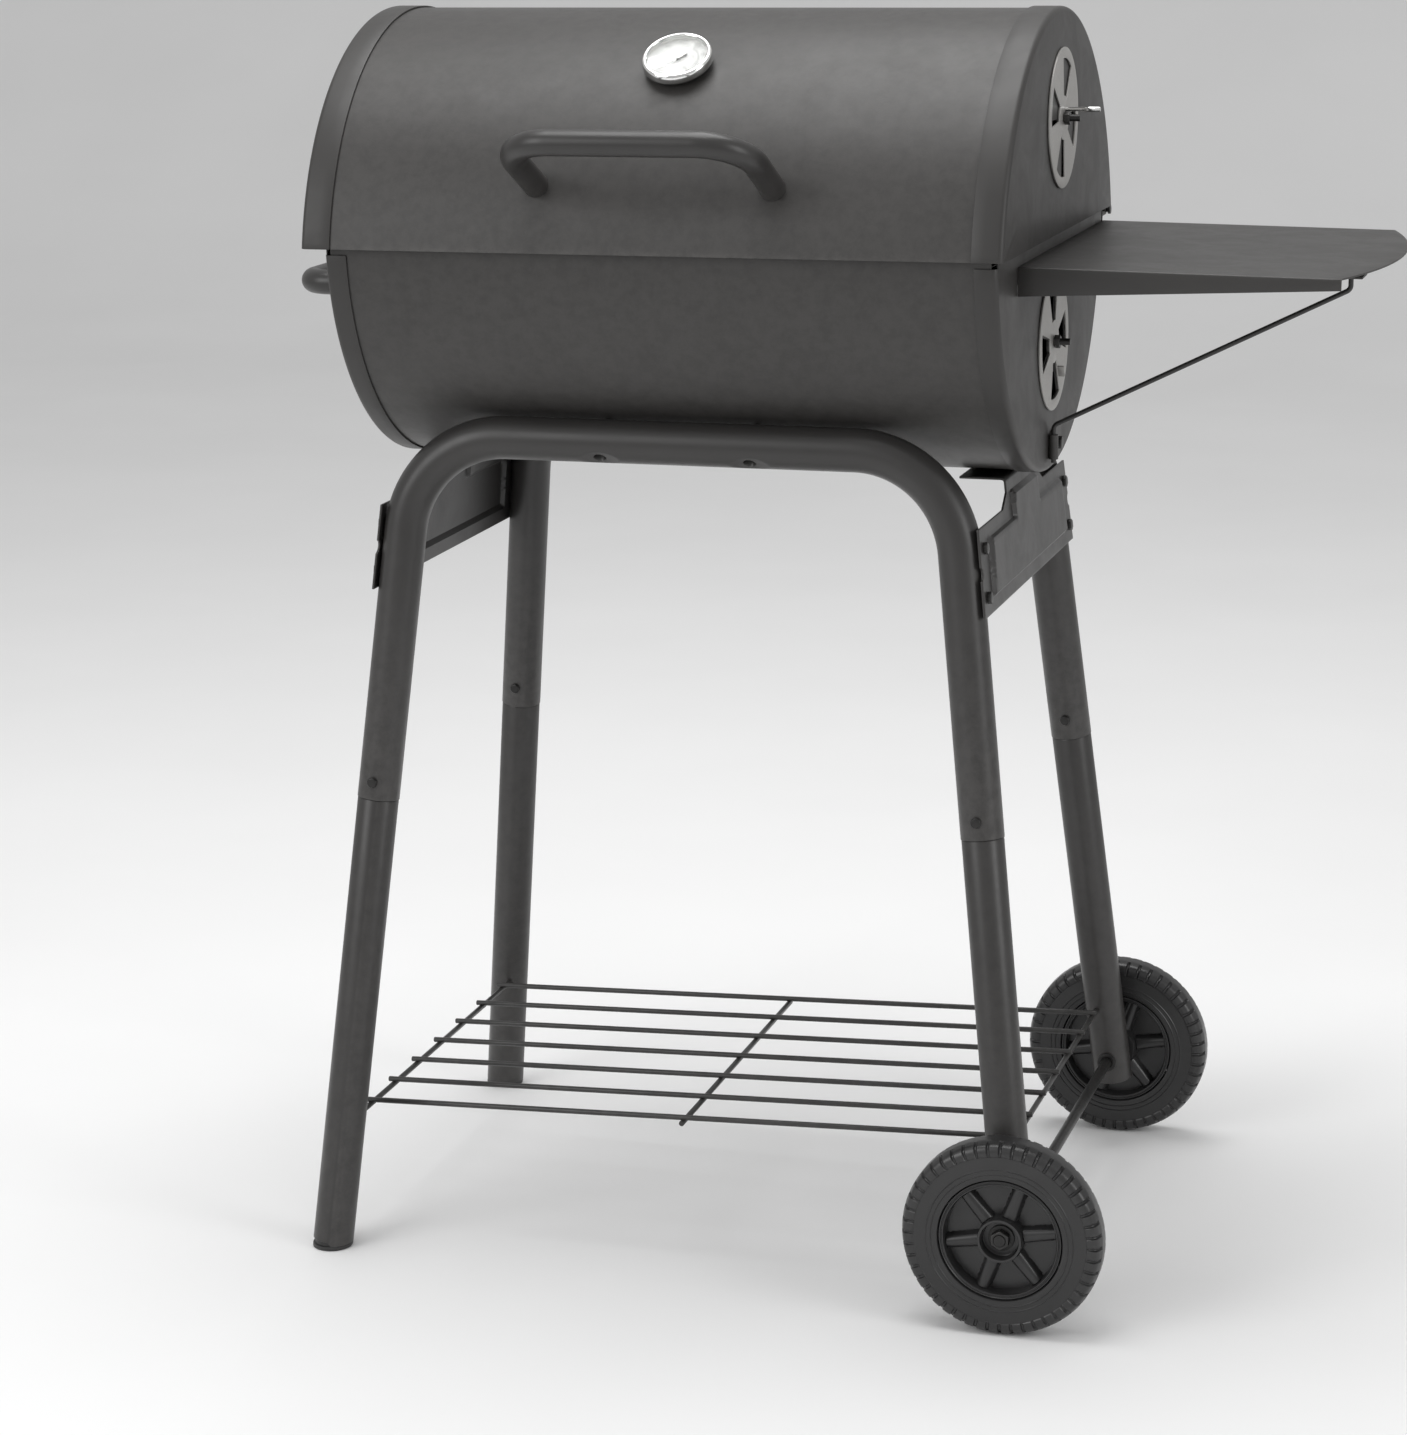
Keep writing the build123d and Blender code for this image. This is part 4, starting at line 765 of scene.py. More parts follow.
def lower_leg(side, row, node):
    """Straight pipe with its top pressed smaller to enter the upper frame."""
    low, high = span(node)
    top = leg_at(side, row, JOINT_Z)
    up = unit(leg_at(side, row, KNEE[2]) - top)
    bottom = leg_at(side, row, low[2] + 2.0 if side < 0 else AXLE_END_Z)
    length = np.linalg.norm(top - bottom)
    outer = [(LEG_R - 0.3, 0), (LEG_R, 0.3), (LEG_R, length - 1.2), (LEG_R - 0.3, length - 0.5),
             (17.3, length + 0.6), (17.3, length + 45)]
    inner = [(15.8, length + 45), (15.8, length - 4), (LEG_R - TUBE_WALL, length - 7), (LEG_R - TUBE_WALL, 0)]
    points, faces = turned(outer + inner, bottom, up, 56, loop=True)
    if side < 0:
        level = points[:, 2] < low[2] + 14.0
        points[level, 2] = np.where(points[level, 2] < low[2] + 3.4, low[2], points[level, 2])
    return points, faces


for row, name in ((-1, "front"), (1, "rear")):
    piece(f"{name}_bent_frame", f"{name}_frame_tube", frame_tube(row), crease=30)
    for side, tag in ((-1, "left"), (1, "right")):
        node = f"{name}_{tag}_leg"
        piece(f"{name}_{tag}_lower_leg", node, lower_leg(side, row, node), crease=40)

plugs = []
for row in (-1, 1):
    profile = [(LEG_R - 1.6, 0), (LEG_R - 0.4, 0.5), (LEG_R, 1.4), (LEG_R, 3.6), (LEG_R - 0.4, 4.0),
               (LEG_R - 1.8, 4.2), (LEG_R - 1.8, 20)]
    foot = turned(profile, leg_at(-1, row, 0), (0, 0, 1), 48)
    shear = leg_at(-1, row, 1.0) - leg_at(-1, row, 0.0)
    points = foot[0].copy()
    points[:, :2] += points[:, 2:] * shear[:2]
    plugs.append((points, foot[1]))
piece("leg_foot_plugs", "foot_plugs", plugs)

# side brackets: a flat plate on the legs with a pressed middle, folded under the drum
PLATE_Z, PLATE_LOW, PLATE_HIGH, PLATE_T = 650.0, -42.0, 34.0, 2.0
EAR_OUT, NECK, SHOULDER, RISE, BORDER, WALL_RUN = 14.0, 62.0, 82.0, 4.0, 14.0, 4.0
NICK_V, NICK_R, NICK_OUT = -4.0, 6.0, 1.5
lean = unit([KNEE[2], 0.0, FOOT[0] - KNEE[0]])
climb = np.array([-lean[2], 0.0, lean[0]])
plate_origin = np.array([leg_at(1, 1, PLATE_Z)[0], 0.0, PLATE_Z]) + lean * (TUBE_R + 0.2)
TAB_TOP_Z = FIREBOX_Z - (FIREBOX_R - SHELL_GAP) - 0.2


def side_bracket(side):
    """Height field on the leaning plane: origin + u across + v up + height out of the plane. The
    height is the plate plus a pressed middle, whose wall rises smoothly over its border. The neck
    carries on over a fold and in under the drum."""
    def half_at(v):
        return FOOT[1] + (KNEE[1] - FOOT[1]) * (PLATE_Z + v) / KNEE[2]

    def field(half, v_from, v_to, u, v):
        return smooth(np.minimum(half - np.abs(u), np.minimum(v - v_from, v_to - v)) / WALL_RUN)

    def press(u, v):
        return RISE * np.maximum(field(half_at(v) - 17, PLATE_LOW + 12, 23, u, v),
                                 field(NECK - BORDER + 2, -10, 46, u, v))

    def spot(u, v):
        height = PLATE_T + press(u, v)
        return plate_origin + u[..., None] * [0, 1.0, 0] + v[..., None] * climb + height[..., None] * lean

    v_nick = np.linspace(-10.5, 2.5, 14)
    v_low = np.unique(np.union1d(np.linspace(PLATE_LOW, PLATE_HIGH, 39), v_nick).round(3))
    v_high = np.linspace(PLATE_HIGH, 50.0, 9)
    shares = np.linspace(-1, 1, 61)
    v_all = np.concatenate([v_low, v_high[1:]])
    narrowing = np.clip((v_all - PLATE_HIGH) / 12, 0, 1)
    neck = SHOULDER + (NECK - SHOULDER) * narrowing
    u_mid = shares[None] * neck[:, None]
    v_mid = np.broadcast_to(v_all[:, None], u_mid.shape)
    middle = spot(u_mid, v_mid)
    outer_line = plate_origin + PLATE_T * lean
    corner_v = (TAB_TOP_Z - outer_line[2]) / climb[2]
    fold = np.array([outer_line + 50.0 * climb, outer_line + corner_v * climb, (228.0, 0.0, TAB_TOP_Z)])
    fold = eased(fold, 5.0, steps=6, closed=False)[1:]
    over = fold[:, None] + (shares * NECK)[None, :, None] * np.array([0, 1.0, 0])
    skins = [stitch(np.concatenate([middle, over]), wrap=False)]
    nick = np.sqrt(np.maximum(0, NICK_R ** 2 - (v_low - NICK_V) ** 2)) - NICK_OUT
    ear = half_at(v_low) + EAR_OUT - np.maximum(0, nick)
    for end in (-1, 1):
        share = np.linspace(0, 1, 36)[None]
        u = end * (SHOULDER + (ear[:, None] - SHOULDER) * share)
        skins.append(stitch(spot(u, np.broadcast_to(v_low[:, None], u.shape)), wrap=False))
    return skins if side > 0 else [mirrored(skin) for skin in skins]


for side, tag in ((-1, "left"), (1, "right")):
    piece(f"{tag}_pressed_bracket", f"side_bracket_{tag}", side_bracket(side), towards=(side, 0, 0.2),
          thick=PLATE_T, ease=0.4, ease_angle=50)

# ---------------------------------------------------------------- side shelf
shelf_low, shelf_high = span("side_shelf")
SHELF_IN, SHELF_TIP, SHELF_OUT = FIREBOX_FACE + 0.6, 596.0, 566.0
SHELF_FRONT, SHELF_REAR, SHELF_Z = shelf_low[1], shelf_high[1], shelf_high[2]
SHELF_DEEP, SHELF_SHALLOW, FOLD = 25.0, 10.0, 2.0
droop = math.radians(0.9)
HANG = np.array([[math.cos(droop), 0, math.sin(droop)], [0, 1, 0], [-math.sin(droop), 0, math.cos(droop)]])
shelf_edge = np.array([SHELF_IN, 0.0, SHELF_Z])


def hung(skin):
    """The skin turned about the shelf's inner edge, so that the shelf hangs a little."""
    return moved(skin, HANG, shelf_edge - HANG @ shelf_edge)


shelf_mid = (SHELF_FRONT + SHELF_REAR) / 2
sagitta = SHELF_TIP - SHELF_OUT
bow_r = ((SHELF_REAR - shelf_mid) ** 2 + sagitta ** 2) / (2 * sagitta)
bow_x = SHELF_TIP - bow_r


def shelf_end(y, inset=0.0):
    """X of the bowed outer edge: centre + square root of (radius squared - distance squared)."""
    return bow_x + np.sqrt((bow_r - inset) ** 2 - (y - shelf_mid) ** 2)


def shelf_skin():
    """Top with a bowed end: x = inner edge + share of the way to the bow. Past the front and rear
    it folds into flanges whose depth falls evenly towards the bow."""
    y = np.linspace(SHELF_FRONT + FOLD, SHELF_REAR - FOLD, 61)
    share = np.linspace(0, 1, 19)[:, None]
    x = SHELF_IN + share * (shelf_end(y) - SHELF_IN)
    top = np.stack([x, np.broadcast_to(y, x.shape), np.full(x.shape, SHELF_Z)], axis=-1)
    skins = [stitch(top, wrap=False)]
    bend = np.radians(np.linspace(0, 90, 6))
    for edge_y, side in ((SHELF_FRONT, -1), (SHELF_REAR, 1)):
        inner_y = edge_y - side * FOLD
        xs = SHELF_IN + share[:, 0] * (shelf_end(inner_y) - SHELF_IN)
        deep = SHELF_DEEP + (SHELF_SHALLOW - SHELF_DEEP) * share[:, 0]
        columns = [np.stack([xs, np.full(len(xs), inner_y + side * FOLD * math.sin(a)),
                             np.full(len(xs), SHELF_Z - FOLD * (1 - math.cos(a)))], axis=-1) for a in bend]
        columns.append(np.stack([xs, np.full(len(xs), edge_y), SHELF_Z - deep], axis=-1))
        skins.append(stitch(np.stack(columns), wrap=False))
    return [hung(skin) for skin in skins]


piece("folded_shelf", "side_shelf", shelf_skin(), towards=(0, 0, 1), thick=SHEET, ease=0.3, ease_angle=50)
piece("shelf_mounting_flange", "side_shelf",
      hung(slab(eased(rect(SHELF_FRONT + 2, SHELF_Z - 16, SHELF_REAR - 2, SHELF_Z - SHEET), 2.0),
                SHEET, (SHELF_IN, 0, 0), (0, 1, 0), (0, 0, 1))), stand_in=False)

# brace under the shelf
BRACE_R, EYE_Y, EYE_R = 2.2, -12.0, 4.1
STEP_Z, STEP_X = 885.0, 556.0
foot_low, foot_high = span("brace_bracket")
BRACKET_X = foot_low[0]
EYE_X = BRACKET_X + EYE_R
EYE_LOW, EYE_HIGH = 720.0, 742.0


def brace_foot():
    """Wall plate beside the rod and the rolled eye that holds the rod's upright end."""
    wall = slab(eased(rect(EYE_Y + 4, foot_low[2], foot_high[1], foot_high[2]), 6.0), 1.6,
                (BRACKET_X, 0, 0), (0, 1, 0), (0, 0, 1))
    web = slab(rect(EYE_Y, EYE_LOW, EYE_Y + 8, EYE_HIGH), 1.5, (BRACKET_X + 0.04, 0, 0), (0, 1, 0), (0, 0, 1))
    eye = turned(collar(BRACE_R + 0.3, EYE_R, EYE_HIGH - EYE_LOW, inset=0.3), (EYE_X, EYE_Y, EYE_LOW),
                 (0, 0, 1), 32, loop=True)
    return [wall, web, eye]


piece("brace_foot", "brace_bracket", brace_foot())
under = SHELF_Z - SHEET - 0.2
step = [(513, under - 1), (540, under - 1), (540, STEP_Z + 5), (568, STEP_Z + 5)]
piece("stepped_tab", "brace_tab", hung(strip(step, PLATE_T, -16, 16, 2.5)), ease=0.4, ease_angle=60)
piece("brace_wire", "brace_rod",
      bent_rod([(EYE_X, EYE_Y, EYE_LOW - 3), (EYE_X, EYE_Y, EYE_HIGH + 8), (STEP_X, 0, STEP_Z - 11),
                (STEP_X, 0, STEP_Z + 8)], 6.0, BRACE_R))

# ---------------------------------------------------------------- dampers
DAMPER_R = 60.5
DISC_T = 1.5


def damper_skin(face_x, hub_z, turn):
    """Round disc with four wedge openings, drawn on rays from its bolt."""
    directions = with_marks(2.5, [turn + 90 * q + s * DISC_HALF for q in range(4) for s in (-1, 1)])
    reach = np.full(len(directions), DAMPER_R)
    slots = (SLOT_IN, SLOT_OUT, DISC_HALF, turn)
    return slotted_face(face_x, hub_z, reach, directions, slots, 3.06, (0.5, 1.0))


for name, hub_z, turn in (("upper", UPPER_HUB_Z, UPPER_DISC_TURN), ("lower", LOWER_HUB_Z, LOWER_DISC_TURN)):
    low, high = span(f"{name}_damper_disc")
    face_x = low[0] + DISC_T
    piece(f"{name}_slotted_disc", f"{name}_damper_disc", [damper_skin(face_x, hub_z, turn)],
          towards=(1, 0, 0), thick=DISC_T, ease=0.2, ease_angle=50)
    if name == "lower":
        tab = slab(eased(rect(face_x - 0.4, -38, high[0], -27), 1.5), DISC_T, (0, -DISC_T / 2, 0),
                   (1, 0, 0), (0, 0, 1))
        a = math.radians(DISC_HALF + turn + 3)
        roll = [[1, 0, 0], [0, math.cos(a), -math.sin(a)], [0, math.sin(a), math.cos(a)]]
        points, faces = tab
        points = points - [0, points[:, 1].mean(), 0]
        piece("lower_damper_tab", "lower_damper_disc", moved((points, faces), roll, (0, 0, hub_z)),
              stand_in=False, ease=0.2)

low, high = span("upper_damper_handle")
knob_r = (high[1] - low[1]) / 2
knob_y, knob_z = (low[1] + high[1]) / 2, (low[2] + high[2]) / 2
knob_len = high[0] - low[0]
grip_start = 14.0
profile = [(knob_r * 0.84, 0), (knob_r * 0.84, grip_start - 0.6), (knob_r, grip_start),
           (knob_r, knob_len - 0.8), (knob_r - 0.3, knob_len - 0.2), (knob_r - 0.9, knob_len)]
piece("damper_pin_grip", "upper_damper_handle", turned(profile, (low[0], knob_y, knob_z), (1, 0, 0), 24))

# ---------------------------------------------------------------- thermometer
gauge_deg = math.radians(55.0)
gauge_out = np.array([0.0, -math.cos(gauge_deg), math.sin(gauge_deg)])
gauge_base = np.array([0.0, 0.0, LID_Z]) + gauge_out * LID_R
gauge_up = np.cross(gauge_out, [1.0, 0, 0])
GLASS_R, CASE_R = 28.0, 26.5


def gauge(profile, sides=72, loop=False):
    """Turned piece on the thermometer's axis; heights are above the lid."""
    return turned(profile, gauge_base, gauge_out, sides, loop)


piece("gauge_case", "thermometer_case",
      gauge([(3.1, 0.4), (CASE_R - 1.5, 0.4), (CASE_R, 1.6), (CASE_R, 4.4), (3.1, 4.4)], loop=True),
      crease=30)
bezel = [(CASE_R + 0.2, 3.0), (29.2, 3.0), (30.1, 3.5), (30.5, 4.6), (30.5, 8.6), (30.2, 10.2), (29.4, 11.4),
         (28.4, 11.95), (27.6, 12.0), (26.9, 11.7), (26.5, 11.1), (28.2, 10.9), (28.2, 4.4), (26.7, 4.4)]
piece("gauge_bezel", "thermometer_bezel", gauge(bezel, loop=True), crease=42)
piece("gauge_dial", "thermometer_dial", gauge(rect(1.4, 4.6, GLASS_R, 5.4), loop=True))
pane = [(0.5, 9.7), (GLASS_R - 0.2, 9.7), (GLASS_R, 9.9), (GLASS_R, 10.5), (GLASS_R - 0.3, 10.75), (14, 10.8),
        (0.5, 10.8)]
piece("gauge_glass", "thermometer_lens", gauge(pane), crease=60)
piece("gauge_stem", "thermometer_stem",
      gauge([(0.4, -70), (2.2, -69), (3.0, -67), (3.0, 4.4), (1.0, 4.4), (1.0, 8.2), (0.7, 8.4)], sides=24),
      crease=30)


def dial_way(angle_deg):
    """Direction across the dial: cos a along X + sin a up the dial."""
    a = math.radians(angle_deg)
    return math.cos(a) * np.array([1.0, 0, 0]) + math.sin(a) * gauge_up


def dial_point(angle_deg, radius, height):
    """Point at an angle and a radius on the dial, at a height above the lid."""
    return gauge_base + gauge_out * height + radius * dial_way(angle_deg)


def dial_bar(angle_deg, inner, outer, width):
    """One printed graduation: a thin bar along a radius of the dial."""
    along = dial_way(angle_deg)
    return slab(rect(inner, -width / 2, outer, width / 2), PRINT_T, gauge_base + gauge_out * PRINT_Z, along,
                np.cross(gauge_out, along))


FIRST_MARK, LAST_MARK, MARKS = 232.0, -52.0, 9
PRINT_Z, PRINT_T, SCALE_R = 5.42, 0.06, 18.2
marks = []
for k in range((MARKS - 1) * 4 + 1):
    at = FIRST_MARK + (LAST_MARK - FIRST_MARK) * k / ((MARKS - 1) * 4)
    major = k % 4 == 0
    marks.append(dial_bar(at, 16.2 if major else 17.0, SCALE_R, 0.55 if major else 0.28))
ring = np.linspace(FIRST_MARK, LAST_MARK, 90)
around, within = (np.array([dial_point(a, r, PRINT_Z) for a in ring]) for r in (SCALE_R, SCALE_R - 0.3))
lift = gauge_out * PRINT_T
band = np.stack([around, within, within + lift, around + lift], axis=1)
marks.append(outward(stitch(band, start="face", end="face")))
piece("dial_graduations", "thermometer_dial", marks, slot="pointer_black", stand_in=False, crease=80)


def numeral(text, angle_deg, radius, size):
    """Dial figure: built-in lettering made into a mesh and laid flat on the dial, centred."""
    curve = bpy.data.curves.new("figure", "FONT")
    curve.body = text
    curve.size = size * MM
    curve.align_x = "CENTER"
    curve.align_y = "CENTER"
    curve.extrude = 0.03 * MM
    curve.resolution_u = 2
    holder = linked("figure", curve)
    mesh = bpy.data.meshes.new_from_object(holder.evaluated_get(bpy.context.evaluated_depsgraph_get()))
    bpy.data.objects.remove(holder)
    turn = Matrix(np.stack([[1.0, 0, 0], gauge_up, gauge_out], axis=1).tolist()).to_4x4()
    spot = (dial_point(angle_deg, radius, 5.46) + MIDDLE) * MM
    mesh.transform(Matrix.Translation(Vector(spot.tolist())) @ turn)
    return mesh


work = bmesh.new()
for k in range(MARKS):
    at = FIRST_MARK + (LAST_MARK - FIRST_MARK) * k / (MARKS - 1)
    work.from_mesh(numeral(str(50 * (k + 1)), at, 22.2, 3.6))
    if k % 2 == 0:
        work.from_mesh(numeral(str(20 * (k + 1)), at, 13.0, 2.6))
figures = linked("dial_figures", bpy.data.meshes.new("dial_figures"))
bmesh.ops.remove_doubles(work, verts=work.verts, dist=1e-7)
work.to_mesh(figures.data)
work.free()
assign(figures, "thermometer_dial", "pointer_black")

NEEDLE_REST, NEEDLE_TIP, NEEDLE_TAIL = 216.0, 20.0, 9.0


def needle():
    """Pointer: a slim blade from a broad tail to the tip, with a round boss on the shaft."""
    outline = np.array([(-NEEDLE_TAIL, -1.2), (-1.5, -0.8), (NEEDLE_TIP - 1, -0.28), (NEEDLE_TIP, 0.0),
                        (NEEDLE_TIP - 1, 0.28), (-1.5, 0.8), (-NEEDLE_TAIL, 1.2)])
    along = dial_way(NEEDLE_REST)
    blade = slab(outline, 0.5, gauge_base + gauge_out * 6.5, along, np.cross(gauge_out, along))
    boss = [(1.06, 6.4), (2.2, 6.4), (2.4, 6.6), (2.4, 7.0), (2.2, 7.2), (1.06, 7.2)]
    return [blade, gauge(boss, sides=32, loop=True)]


piece("gauge_needle", "thermometer_pointer", needle())

# ---------------------------------------------------------------- wheels
LUGS = 48
SPOKES = 6
SPOKE_TURN = 10.0


def wheel_skin(radius, width, angle, centre, outside):
    """Closed section carried round the axle: centre + (radius cos a, width outwards, radius sin a)."""
    rings = np.stack([radius * np.cos(angle), outside * width, radius * np.sin(angle)], axis=-1) + centre
    return outward(stitch(rings, loop=True))


def tyre(centre, outside):
    """Moulded tyre: a closed section carried round the axle, radius and width pulled in by
    depth x mask between lugs. The mask is 1 over the tread and shoulder and 0 on the side wall."""
    section = [(54.3, 13.5), (55.2, 15.6), (57.0, 16.2), (59.6, 16.2), (60.2, 16.75), (60.8, 16.2),
               (64.0, 16.2), (64.6, 16.75), (65.2, 16.2), (70.0, 16.0), (75.6, 15.7), (76.4, 16.4),
               (77.2, 16.6), (80.5, 16.3), (83.6, 15.2), (85.6, 13.2), (86.9, 10.0), (87.3, 8.0),
               (87.9, 6.6), (88.0, 3.0)]
    mask = [0, 0, 0, 0, 0, 0, 0, 0, 0, 0, 0, 0.4, 1, 1, 1, 1, 1, 0.9, 0.1, 0.0]
    section = np.array(section + [(r, -w) for r, w in section[::-1]])
    mask = np.array(mask + mask[::-1], float)
    pitch = np.array([0.0, 0.07, 0.16, 0.36, 0.64, 0.84, 0.93])
    raised = np.array([0.0, 0.15, 1.0, 1.0, 1.0, 1.0, 0.15])
    angle = ((np.arange(LUGS)[:, None] + pitch) * (2 * np.pi / LUGS)).reshape(-1)
    dip = np.tile(1 - raised, LUGS)[:, None] * mask[None]
    radius = section[:, 0] - 1.7 * dip
    width = section[:, 1] - np.sign(section[:, 1]) * 1.1 * dip
    return wheel_skin(radius, width, angle[:, None], centre, outside)


def hub(centre, outside):
    """Moulded hub: a closed section carried round the axle. In the dish between boss and rim both
    faces rise over each spoke by height x (1 - (offset / half width) squared) to the power 0.4."""
    dish_r = np.linspace(20.6, 48.4, 15)
    outer_side = [(5.2, 7.0), (15.6, 7.0), (16.4, 7.6), (16.6, 9.0), (16.8, 16.0), (17.3, 16.9), (18.2, 17.0),
                  (19.2, 16.8), (19.6, 16.0), (20.1, 8.0)]
    floor = [(r, 2.6) for r in dish_r]
    rim = [(49.0, 6.0), (49.3, 13.4), (50.0, 14.6), (50.8, 14.8), (51.4, 14.1), (52.0, 14.1), (52.6, 14.8),
           (53.4, 14.6), (53.9, 13.8)]
    back_boss = [(20.1, -8.0), (19.6, -16.0), (19.0, -16.9), (17.6, -17.0), (6.4, -17.0), (5.2, -16.4)]
    back = [(r, -h) for r, h in (floor + rim)[::-1]]
    section = np.array(outer_side + floor + rim + back + back_boss)
    in_dish = np.abs(section[:, 1]) == 2.6
    angle = np.radians(np.arange(0, 360, 1.5))[:, None]
    gap = 2 * np.pi / SPOKES
    nearest = (angle - math.radians(SPOKE_TURN) + gap / 2) % gap - gap / 2
    offset = np.abs(section[:, 0] * np.sin(nearest))
    half = 7.2 - 1.0 * (section[:, 0] - 20) / 30
    rise = 8.4 * np.sqrt(np.clip(1 - (offset / half) ** 2, 0, 1)) ** 0.8
    height = section[:, 1] + np.where(in_dish, np.sign(section[:, 1]) * rise, 0.0)
    return wheel_skin(section[:, 0], height, angle, centre, outside)


for name, outside in (("front", -1), ("rear", 1)):
    centre = PIVOT[f"{name}_wheel_spin"]
    piece(f"{name}_lugged_tyre", f"{name}_wheel_tyre", tyre(centre, outside), crease=34)
    piece(f"{name}_spoked_hub", f"{name}_wheel_hub", hub(centre, outside), crease=34)

low, high = span("axle")
axle_x, axle_z = (low[0] + high[0]) / 2, (low[2] + high[2]) / 2
piece("wheel_axle", "axle", rod((axle_x, low[1], axle_z), (axle_x, high[1], axle_z), 5.0, 0.8, 32))

# ---------------------------------------------------------------- rack, grates and ledges
WIRE_R = 2.5
RACK_Z, RACK_RUN, RACK_RISE, RACK_END, WIRE_PITCH, WIRE_ABOVE = 130.6, 304.0, 10.8, 309.0, 58.5, 4.4
RACK_SLOPE = RACK_RISE / RACK_RUN


def rack_wire(a, b):
    """Straight wire of the sloping rack: each end (x, y, height over the rack) at z + slope x."""
    return rod(*((x, y, RACK_Z + over + x * RACK_SLOPE) for x, y, over in (a, b)), WIRE_R, 0.7, 16)


wires = [rack_wire((-RACK_END, k * WIRE_PITCH, WIRE_ABOVE), (RACK_END, k * WIRE_PITCH, WIRE_ABOVE))
         for k in range(-3, 4)]
wires += [rack_wire((x, -half, 0), (x, half, 0))
          for x, half in ((-RACK_RUN, 209.0), (0.0, 180.5), (RACK_RUN, 209.0))]
piece("wire_rack", "bottom_rack", wires)


def wire_grate(node, pitch, edge_r=3.0, wire_r=2.2):
    """Grate: a bent border wire and thinner wires from front to rear, at equal steps."""
    low, high = span(node)
    x0, x1, y1, z = low[0] + edge_r, high[0] - edge_r, high[1] - edge_r, (low[2] + high[2]) / 2
    border, ways = route([(x0, 0, z), (x0, -y1, z), (x1, -y1, z), (x1, y1, z), (x0, y1, z), (x0, 0.001, z)],
                         8.0, 7)
    rings = tube(border[:-1], ways[:-1], (0, 0, 1.0), edge_r, even_angles(12))
    skins = [outward(stitch(rings, loop=True))]
    count = round((x1 - x0) / pitch)
    for k in range(1, count):
        x = x0 + (x1 - x0) * k / count
        skins.append(rod((x, -y1, z), (x, y1, z), wire_r, 0.5, 10))
    return skins


for label, node, pitch in (("left_grate_wires", "cooking_grate_left", 16.0),
                           ("right_grate_wires", "cooking_grate_right", 16.0),
                           ("charcoal_grate_wires", "charcoal_grate", 24.0)):
    piece(label, node, wire_grate(node, pitch))

# ---------------------------------------------------------------- hinges
KNUCKLE_R, PIN_R, HINGE_IN, HINGE_OUT, LEAF_T = 4.5, 2.5, 258.0, 297.0, 2.0
hinge_y, hinge_z = PIVOT["lid_hinge"][1], PIVOT["lid_hinge"][2]


def leaf(centre_z, radius, from_deg, to_deg, x0, x1):
    """Rolled leaf: an outline with eased corners in (x, arc length) wrapped on the arc, carried
    through the leaf's thickness."""
    arc0, arc1 = math.radians(from_deg) * radius, math.radians(to_deg) * radius
    outline = eased(rect(x0, arc0, x1, arc1), 4.0, steps=5)
    a = outline[:, 1] / radius
    shells = [np.stack([outline[:, 0], r * np.cos(a), centre_z + r * np.sin(a)], axis=-1)
              for r in (radius, radius + LEAF_T - 0.3, radius + LEAF_T)]
    middle = (x0 + x1) / 2
    shells[2][:, 0] = middle + (shells[2][:, 0] - middle) * 0.985
    return outward(stitch(np.stack(shells), start="face", end="face"))


low_skins, top_skins = [], []
step_x = (HINGE_OUT - HINGE_IN) / 3
for side in (-1, 1):
    x0, x1 = sorted((side * HINGE_IN, side * HINGE_OUT))
    low_skins.append(leaf(FIREBOX_Z, FIREBOX_R + 0.3, -14.0, -4.2, x0, x1))
    top_skins.append(leaf(LID_Z, LID_R + 0.3, 10.6, 21.0, x0, x1))
    for k in range(3):
        a, b = x0 + k * step_x + 0.3, x0 + (k + 1) * step_x - 0.3
        barrel = turned(collar(PIN_R + 0.06, KNUCKLE_R, b - a), (a, hinge_y, hinge_z), (1, 0, 0), 32,
                        loop=True)
        if k % 2 == 0:
            web = slab(rect(a, FIREBOX_R + 0.6, b, hinge_y - 2.2), 3.0, (0, 0, hinge_z - KNUCKLE_R),
                       (1, 0, 0), (0, 1, 0))
            low_skins += [barrel, web]
        else:
            web = slab(rect(a, hinge_z + 1.8, b, hinge_z + 8.4), 2.2, (0, hinge_y - 0.8, 0),
                       (1, 0, 0), (0, 0, 1))
            top_skins += [barrel, web]
piece("hinge_leaves_on_firebox", "hinge_lower_leaves", low_skins, crease=30)
piece("hinge_leaves_on_lid", "hinge_upper_leaves", top_skins, crease=30)

# ---------------------------------------------------------------- bolts, nuts and small hardware
for label, node, ease in (
        ("leg_joint_screws", "leg_screws", 0.25), ("bracket_hex_bolts", "bracket_bolts", 0.35),
        ("drum_hex_bolts", "drum_bolts", 0.35), ("shelf_hex_bolts", "shelf_bolts", 0.3),
        ("brace_hex_bolt", "brace_bracket_bolt", 0.3), ("upper_damper_hex_bolt", "upper_damper_bolt", 0.3),
        ("lower_damper_hex_bolt", "lower_damper_bolt", 0.3),
        ("upper_damper_lock_nut", "upper_damper_nut", 0.4),
        ("lower_damper_lock_nut", "lower_damper_nut", 0.4), ("hinge_rivet_pins", "hinge_pins", 0.3),
        ("firebox_leaf_screws", "hinge_lower_screws", 0.2), ("lid_leaf_screws", "hinge_upper_screws", 0.2),
        ("grip_screws_in_lid", "lid_handle_screws", 0.3), ("grip_screws_in_end", "side_handle_screws", 0.3),
        ("gauge_lock_nut", "thermometer_nut", 0.3), ("axle_plain_washers", "axle_washers", 0.2),
        ("axle_hex_nuts", "axle_nuts", 0.5), ("grate_ledge_angles", "grate_ledges", 0.3)):
    softened(label, node, ease)

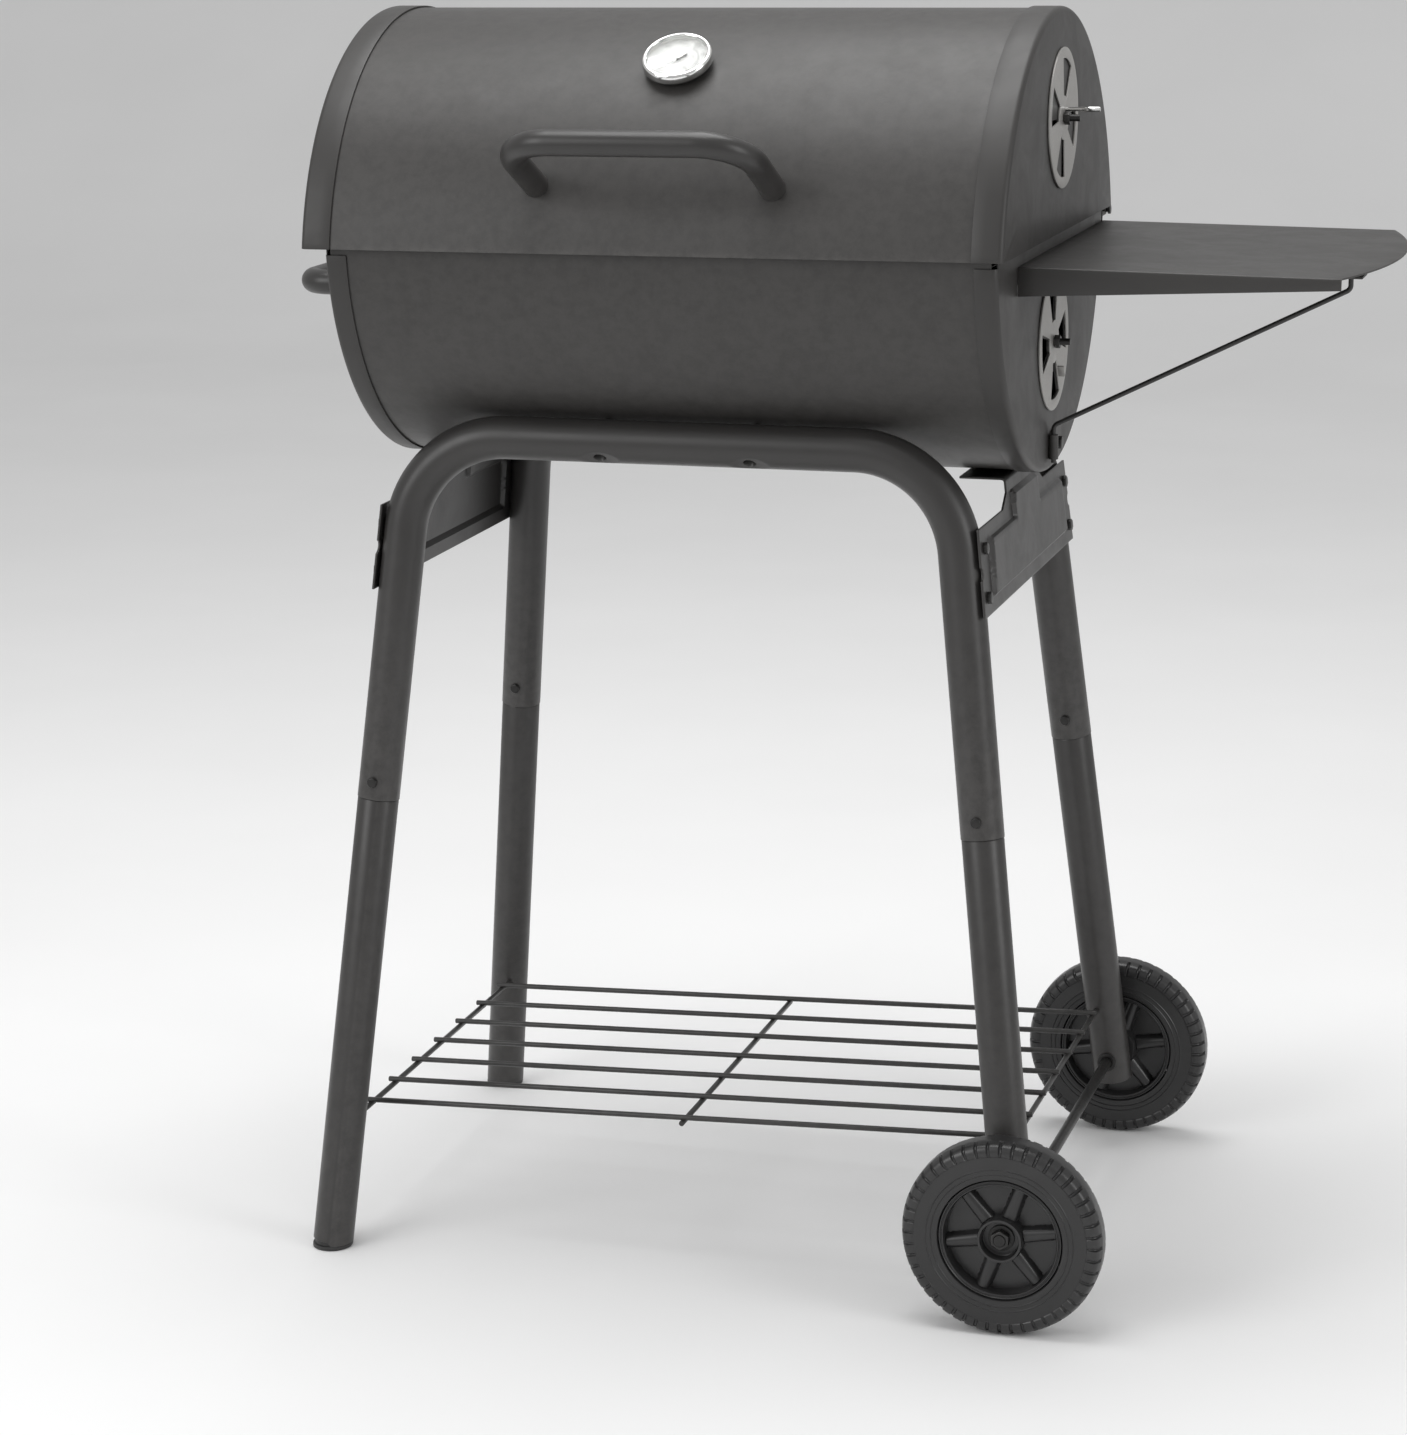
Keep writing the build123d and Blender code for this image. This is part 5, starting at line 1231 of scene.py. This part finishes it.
# ---------------------------------------------------------------- studio
def floor_finish():
    """Pale seamless paper with a faint mottle."""
    made, tree, shader = material("studio paper")
    where = add(tree, "ShaderNodeTexCoord").outputs["Object"]
    tone = group_node(tree, DRIFT, where, Scale=1.5)
    colour = blended(tree, tone.outputs["Tone"], (0.83, 0.83, 0.83), (0.86, 0.86, 0.86))
    feed(tree, shader, {"Base Color": colour, "Roughness": 0.8})
    return made


def studio_floor():
    """Sheet flat on z = 0, in metres, that rises behind the object: height = 6 smooth((y - 5) / 9)."""
    reach, rise_from, rise = 14.0, 5.0, 6.0
    x = np.linspace(-reach, reach, 15)
    y = np.concatenate([np.linspace(-reach, rise_from, 12), np.linspace(rise_from + 0.5, reach, 24)])
    gx, gy = np.meshgrid(x, y)
    gz = rise * smooth((gy - rise_from) / (reach - rise_from))
    points, (quads,) = stitch(np.stack([gx, gy, gz], axis=-1), wrap=False)
    mesh = bpy.data.meshes.new("studio_floor")
    mesh.from_pydata(points.tolist(), [], quads.tolist())
    mesh.shade_smooth()
    mesh.materials.append(floor_finish())
    linked("studio_floor", mesh)


def soft_box(name, where, aim, wide, high, power):
    """Rectangular soft light at a place, facing a point."""
    light = bpy.data.lights.new(name, "AREA")
    light.shape = "RECTANGLE"
    light.size, light.size_y, light.energy = wide, high, power
    made = linked(name, light)
    made.location = where
    made.rotation_euler = (Vector(aim) - Vector(where)).to_track_quat("-Z", "Y").to_euler()


def studio_world(strength, seen):
    """White surroundings: one strength for light, another for what the camera sees."""
    world = bpy.data.worlds.new("studio")
    bpy.context.scene.world = world
    world.use_nodes = True
    tree = world.node_tree
    back = tree.nodes["Background"]
    white = (1.0, 1.0, 1.0, 1.0)
    feed(tree, back, {"Color": white, "Strength": strength})
    plain = add(tree, "ShaderNodeBackground", {"Color": white, "Strength": seen})
    path = add(tree, "ShaderNodeLightPath")
    pick = add(tree, "ShaderNodeMixShader", {0: path.outputs["Is Camera Ray"], 1: back.outputs[0],
                                             2: plain.outputs[0]})
    feed(tree, tree.nodes["World Output"], {"Surface": pick.outputs[0]})


studio_floor()
studio_world(0.55, 1.0)
soft_box("overhead box", (-0.2, 0.1, 3.4), (0, 0, 0.8), 2.6, 2.0, 70)
soft_box("front box", (-2.4, -3.0, 2.2), (0, 0, 0.7), 2.0, 2.0, 45)
soft_box("right box", (3.4, -1.2, 1.8), (0, 0, 0.7), 1.4, 2.0, 30)

# ---------------------------------------------------------------- camera
YAW, PITCH, ROLL = (math.radians(a) for a in (17.4, 13.9, -0.9))
SENSOR_WIDE, LENS_LONG = 36.0, 93.2955
CAMERA_SPOT = [952.8, -3134.6, 1275.9]
forward = Vector((-math.sin(YAW) * math.cos(PITCH), math.cos(YAW) * math.cos(PITCH), -math.sin(PITCH)))
right = forward.cross(Vector((0, 0, 1))).normalized()
up = right.cross(forward)
right, up = (math.cos(ROLL) * right + math.sin(ROLL) * up, math.cos(ROLL) * up - math.sin(ROLL) * right)
lens = bpy.data.cameras.new("camera")
lens.sensor_fit = "HORIZONTAL"
lens.sensor_width = SENSOR_WIDE
lens.lens = LENS_LONG
lens.dof.use_dof = False
camera = linked("camera", lens)
eye = (np.array(CAMERA_SPOT) + MIDDLE) * MM
camera.matrix_world = Matrix([[right[k], up[k], -forward[k], eye[k]] for k in range(3)] + [[0, 0, 0, 1]])
bpy.context.scene.camera = camera
bpy.context.scene.view_settings.view_transform = "Standard"

bpy.context.view_layer.update()
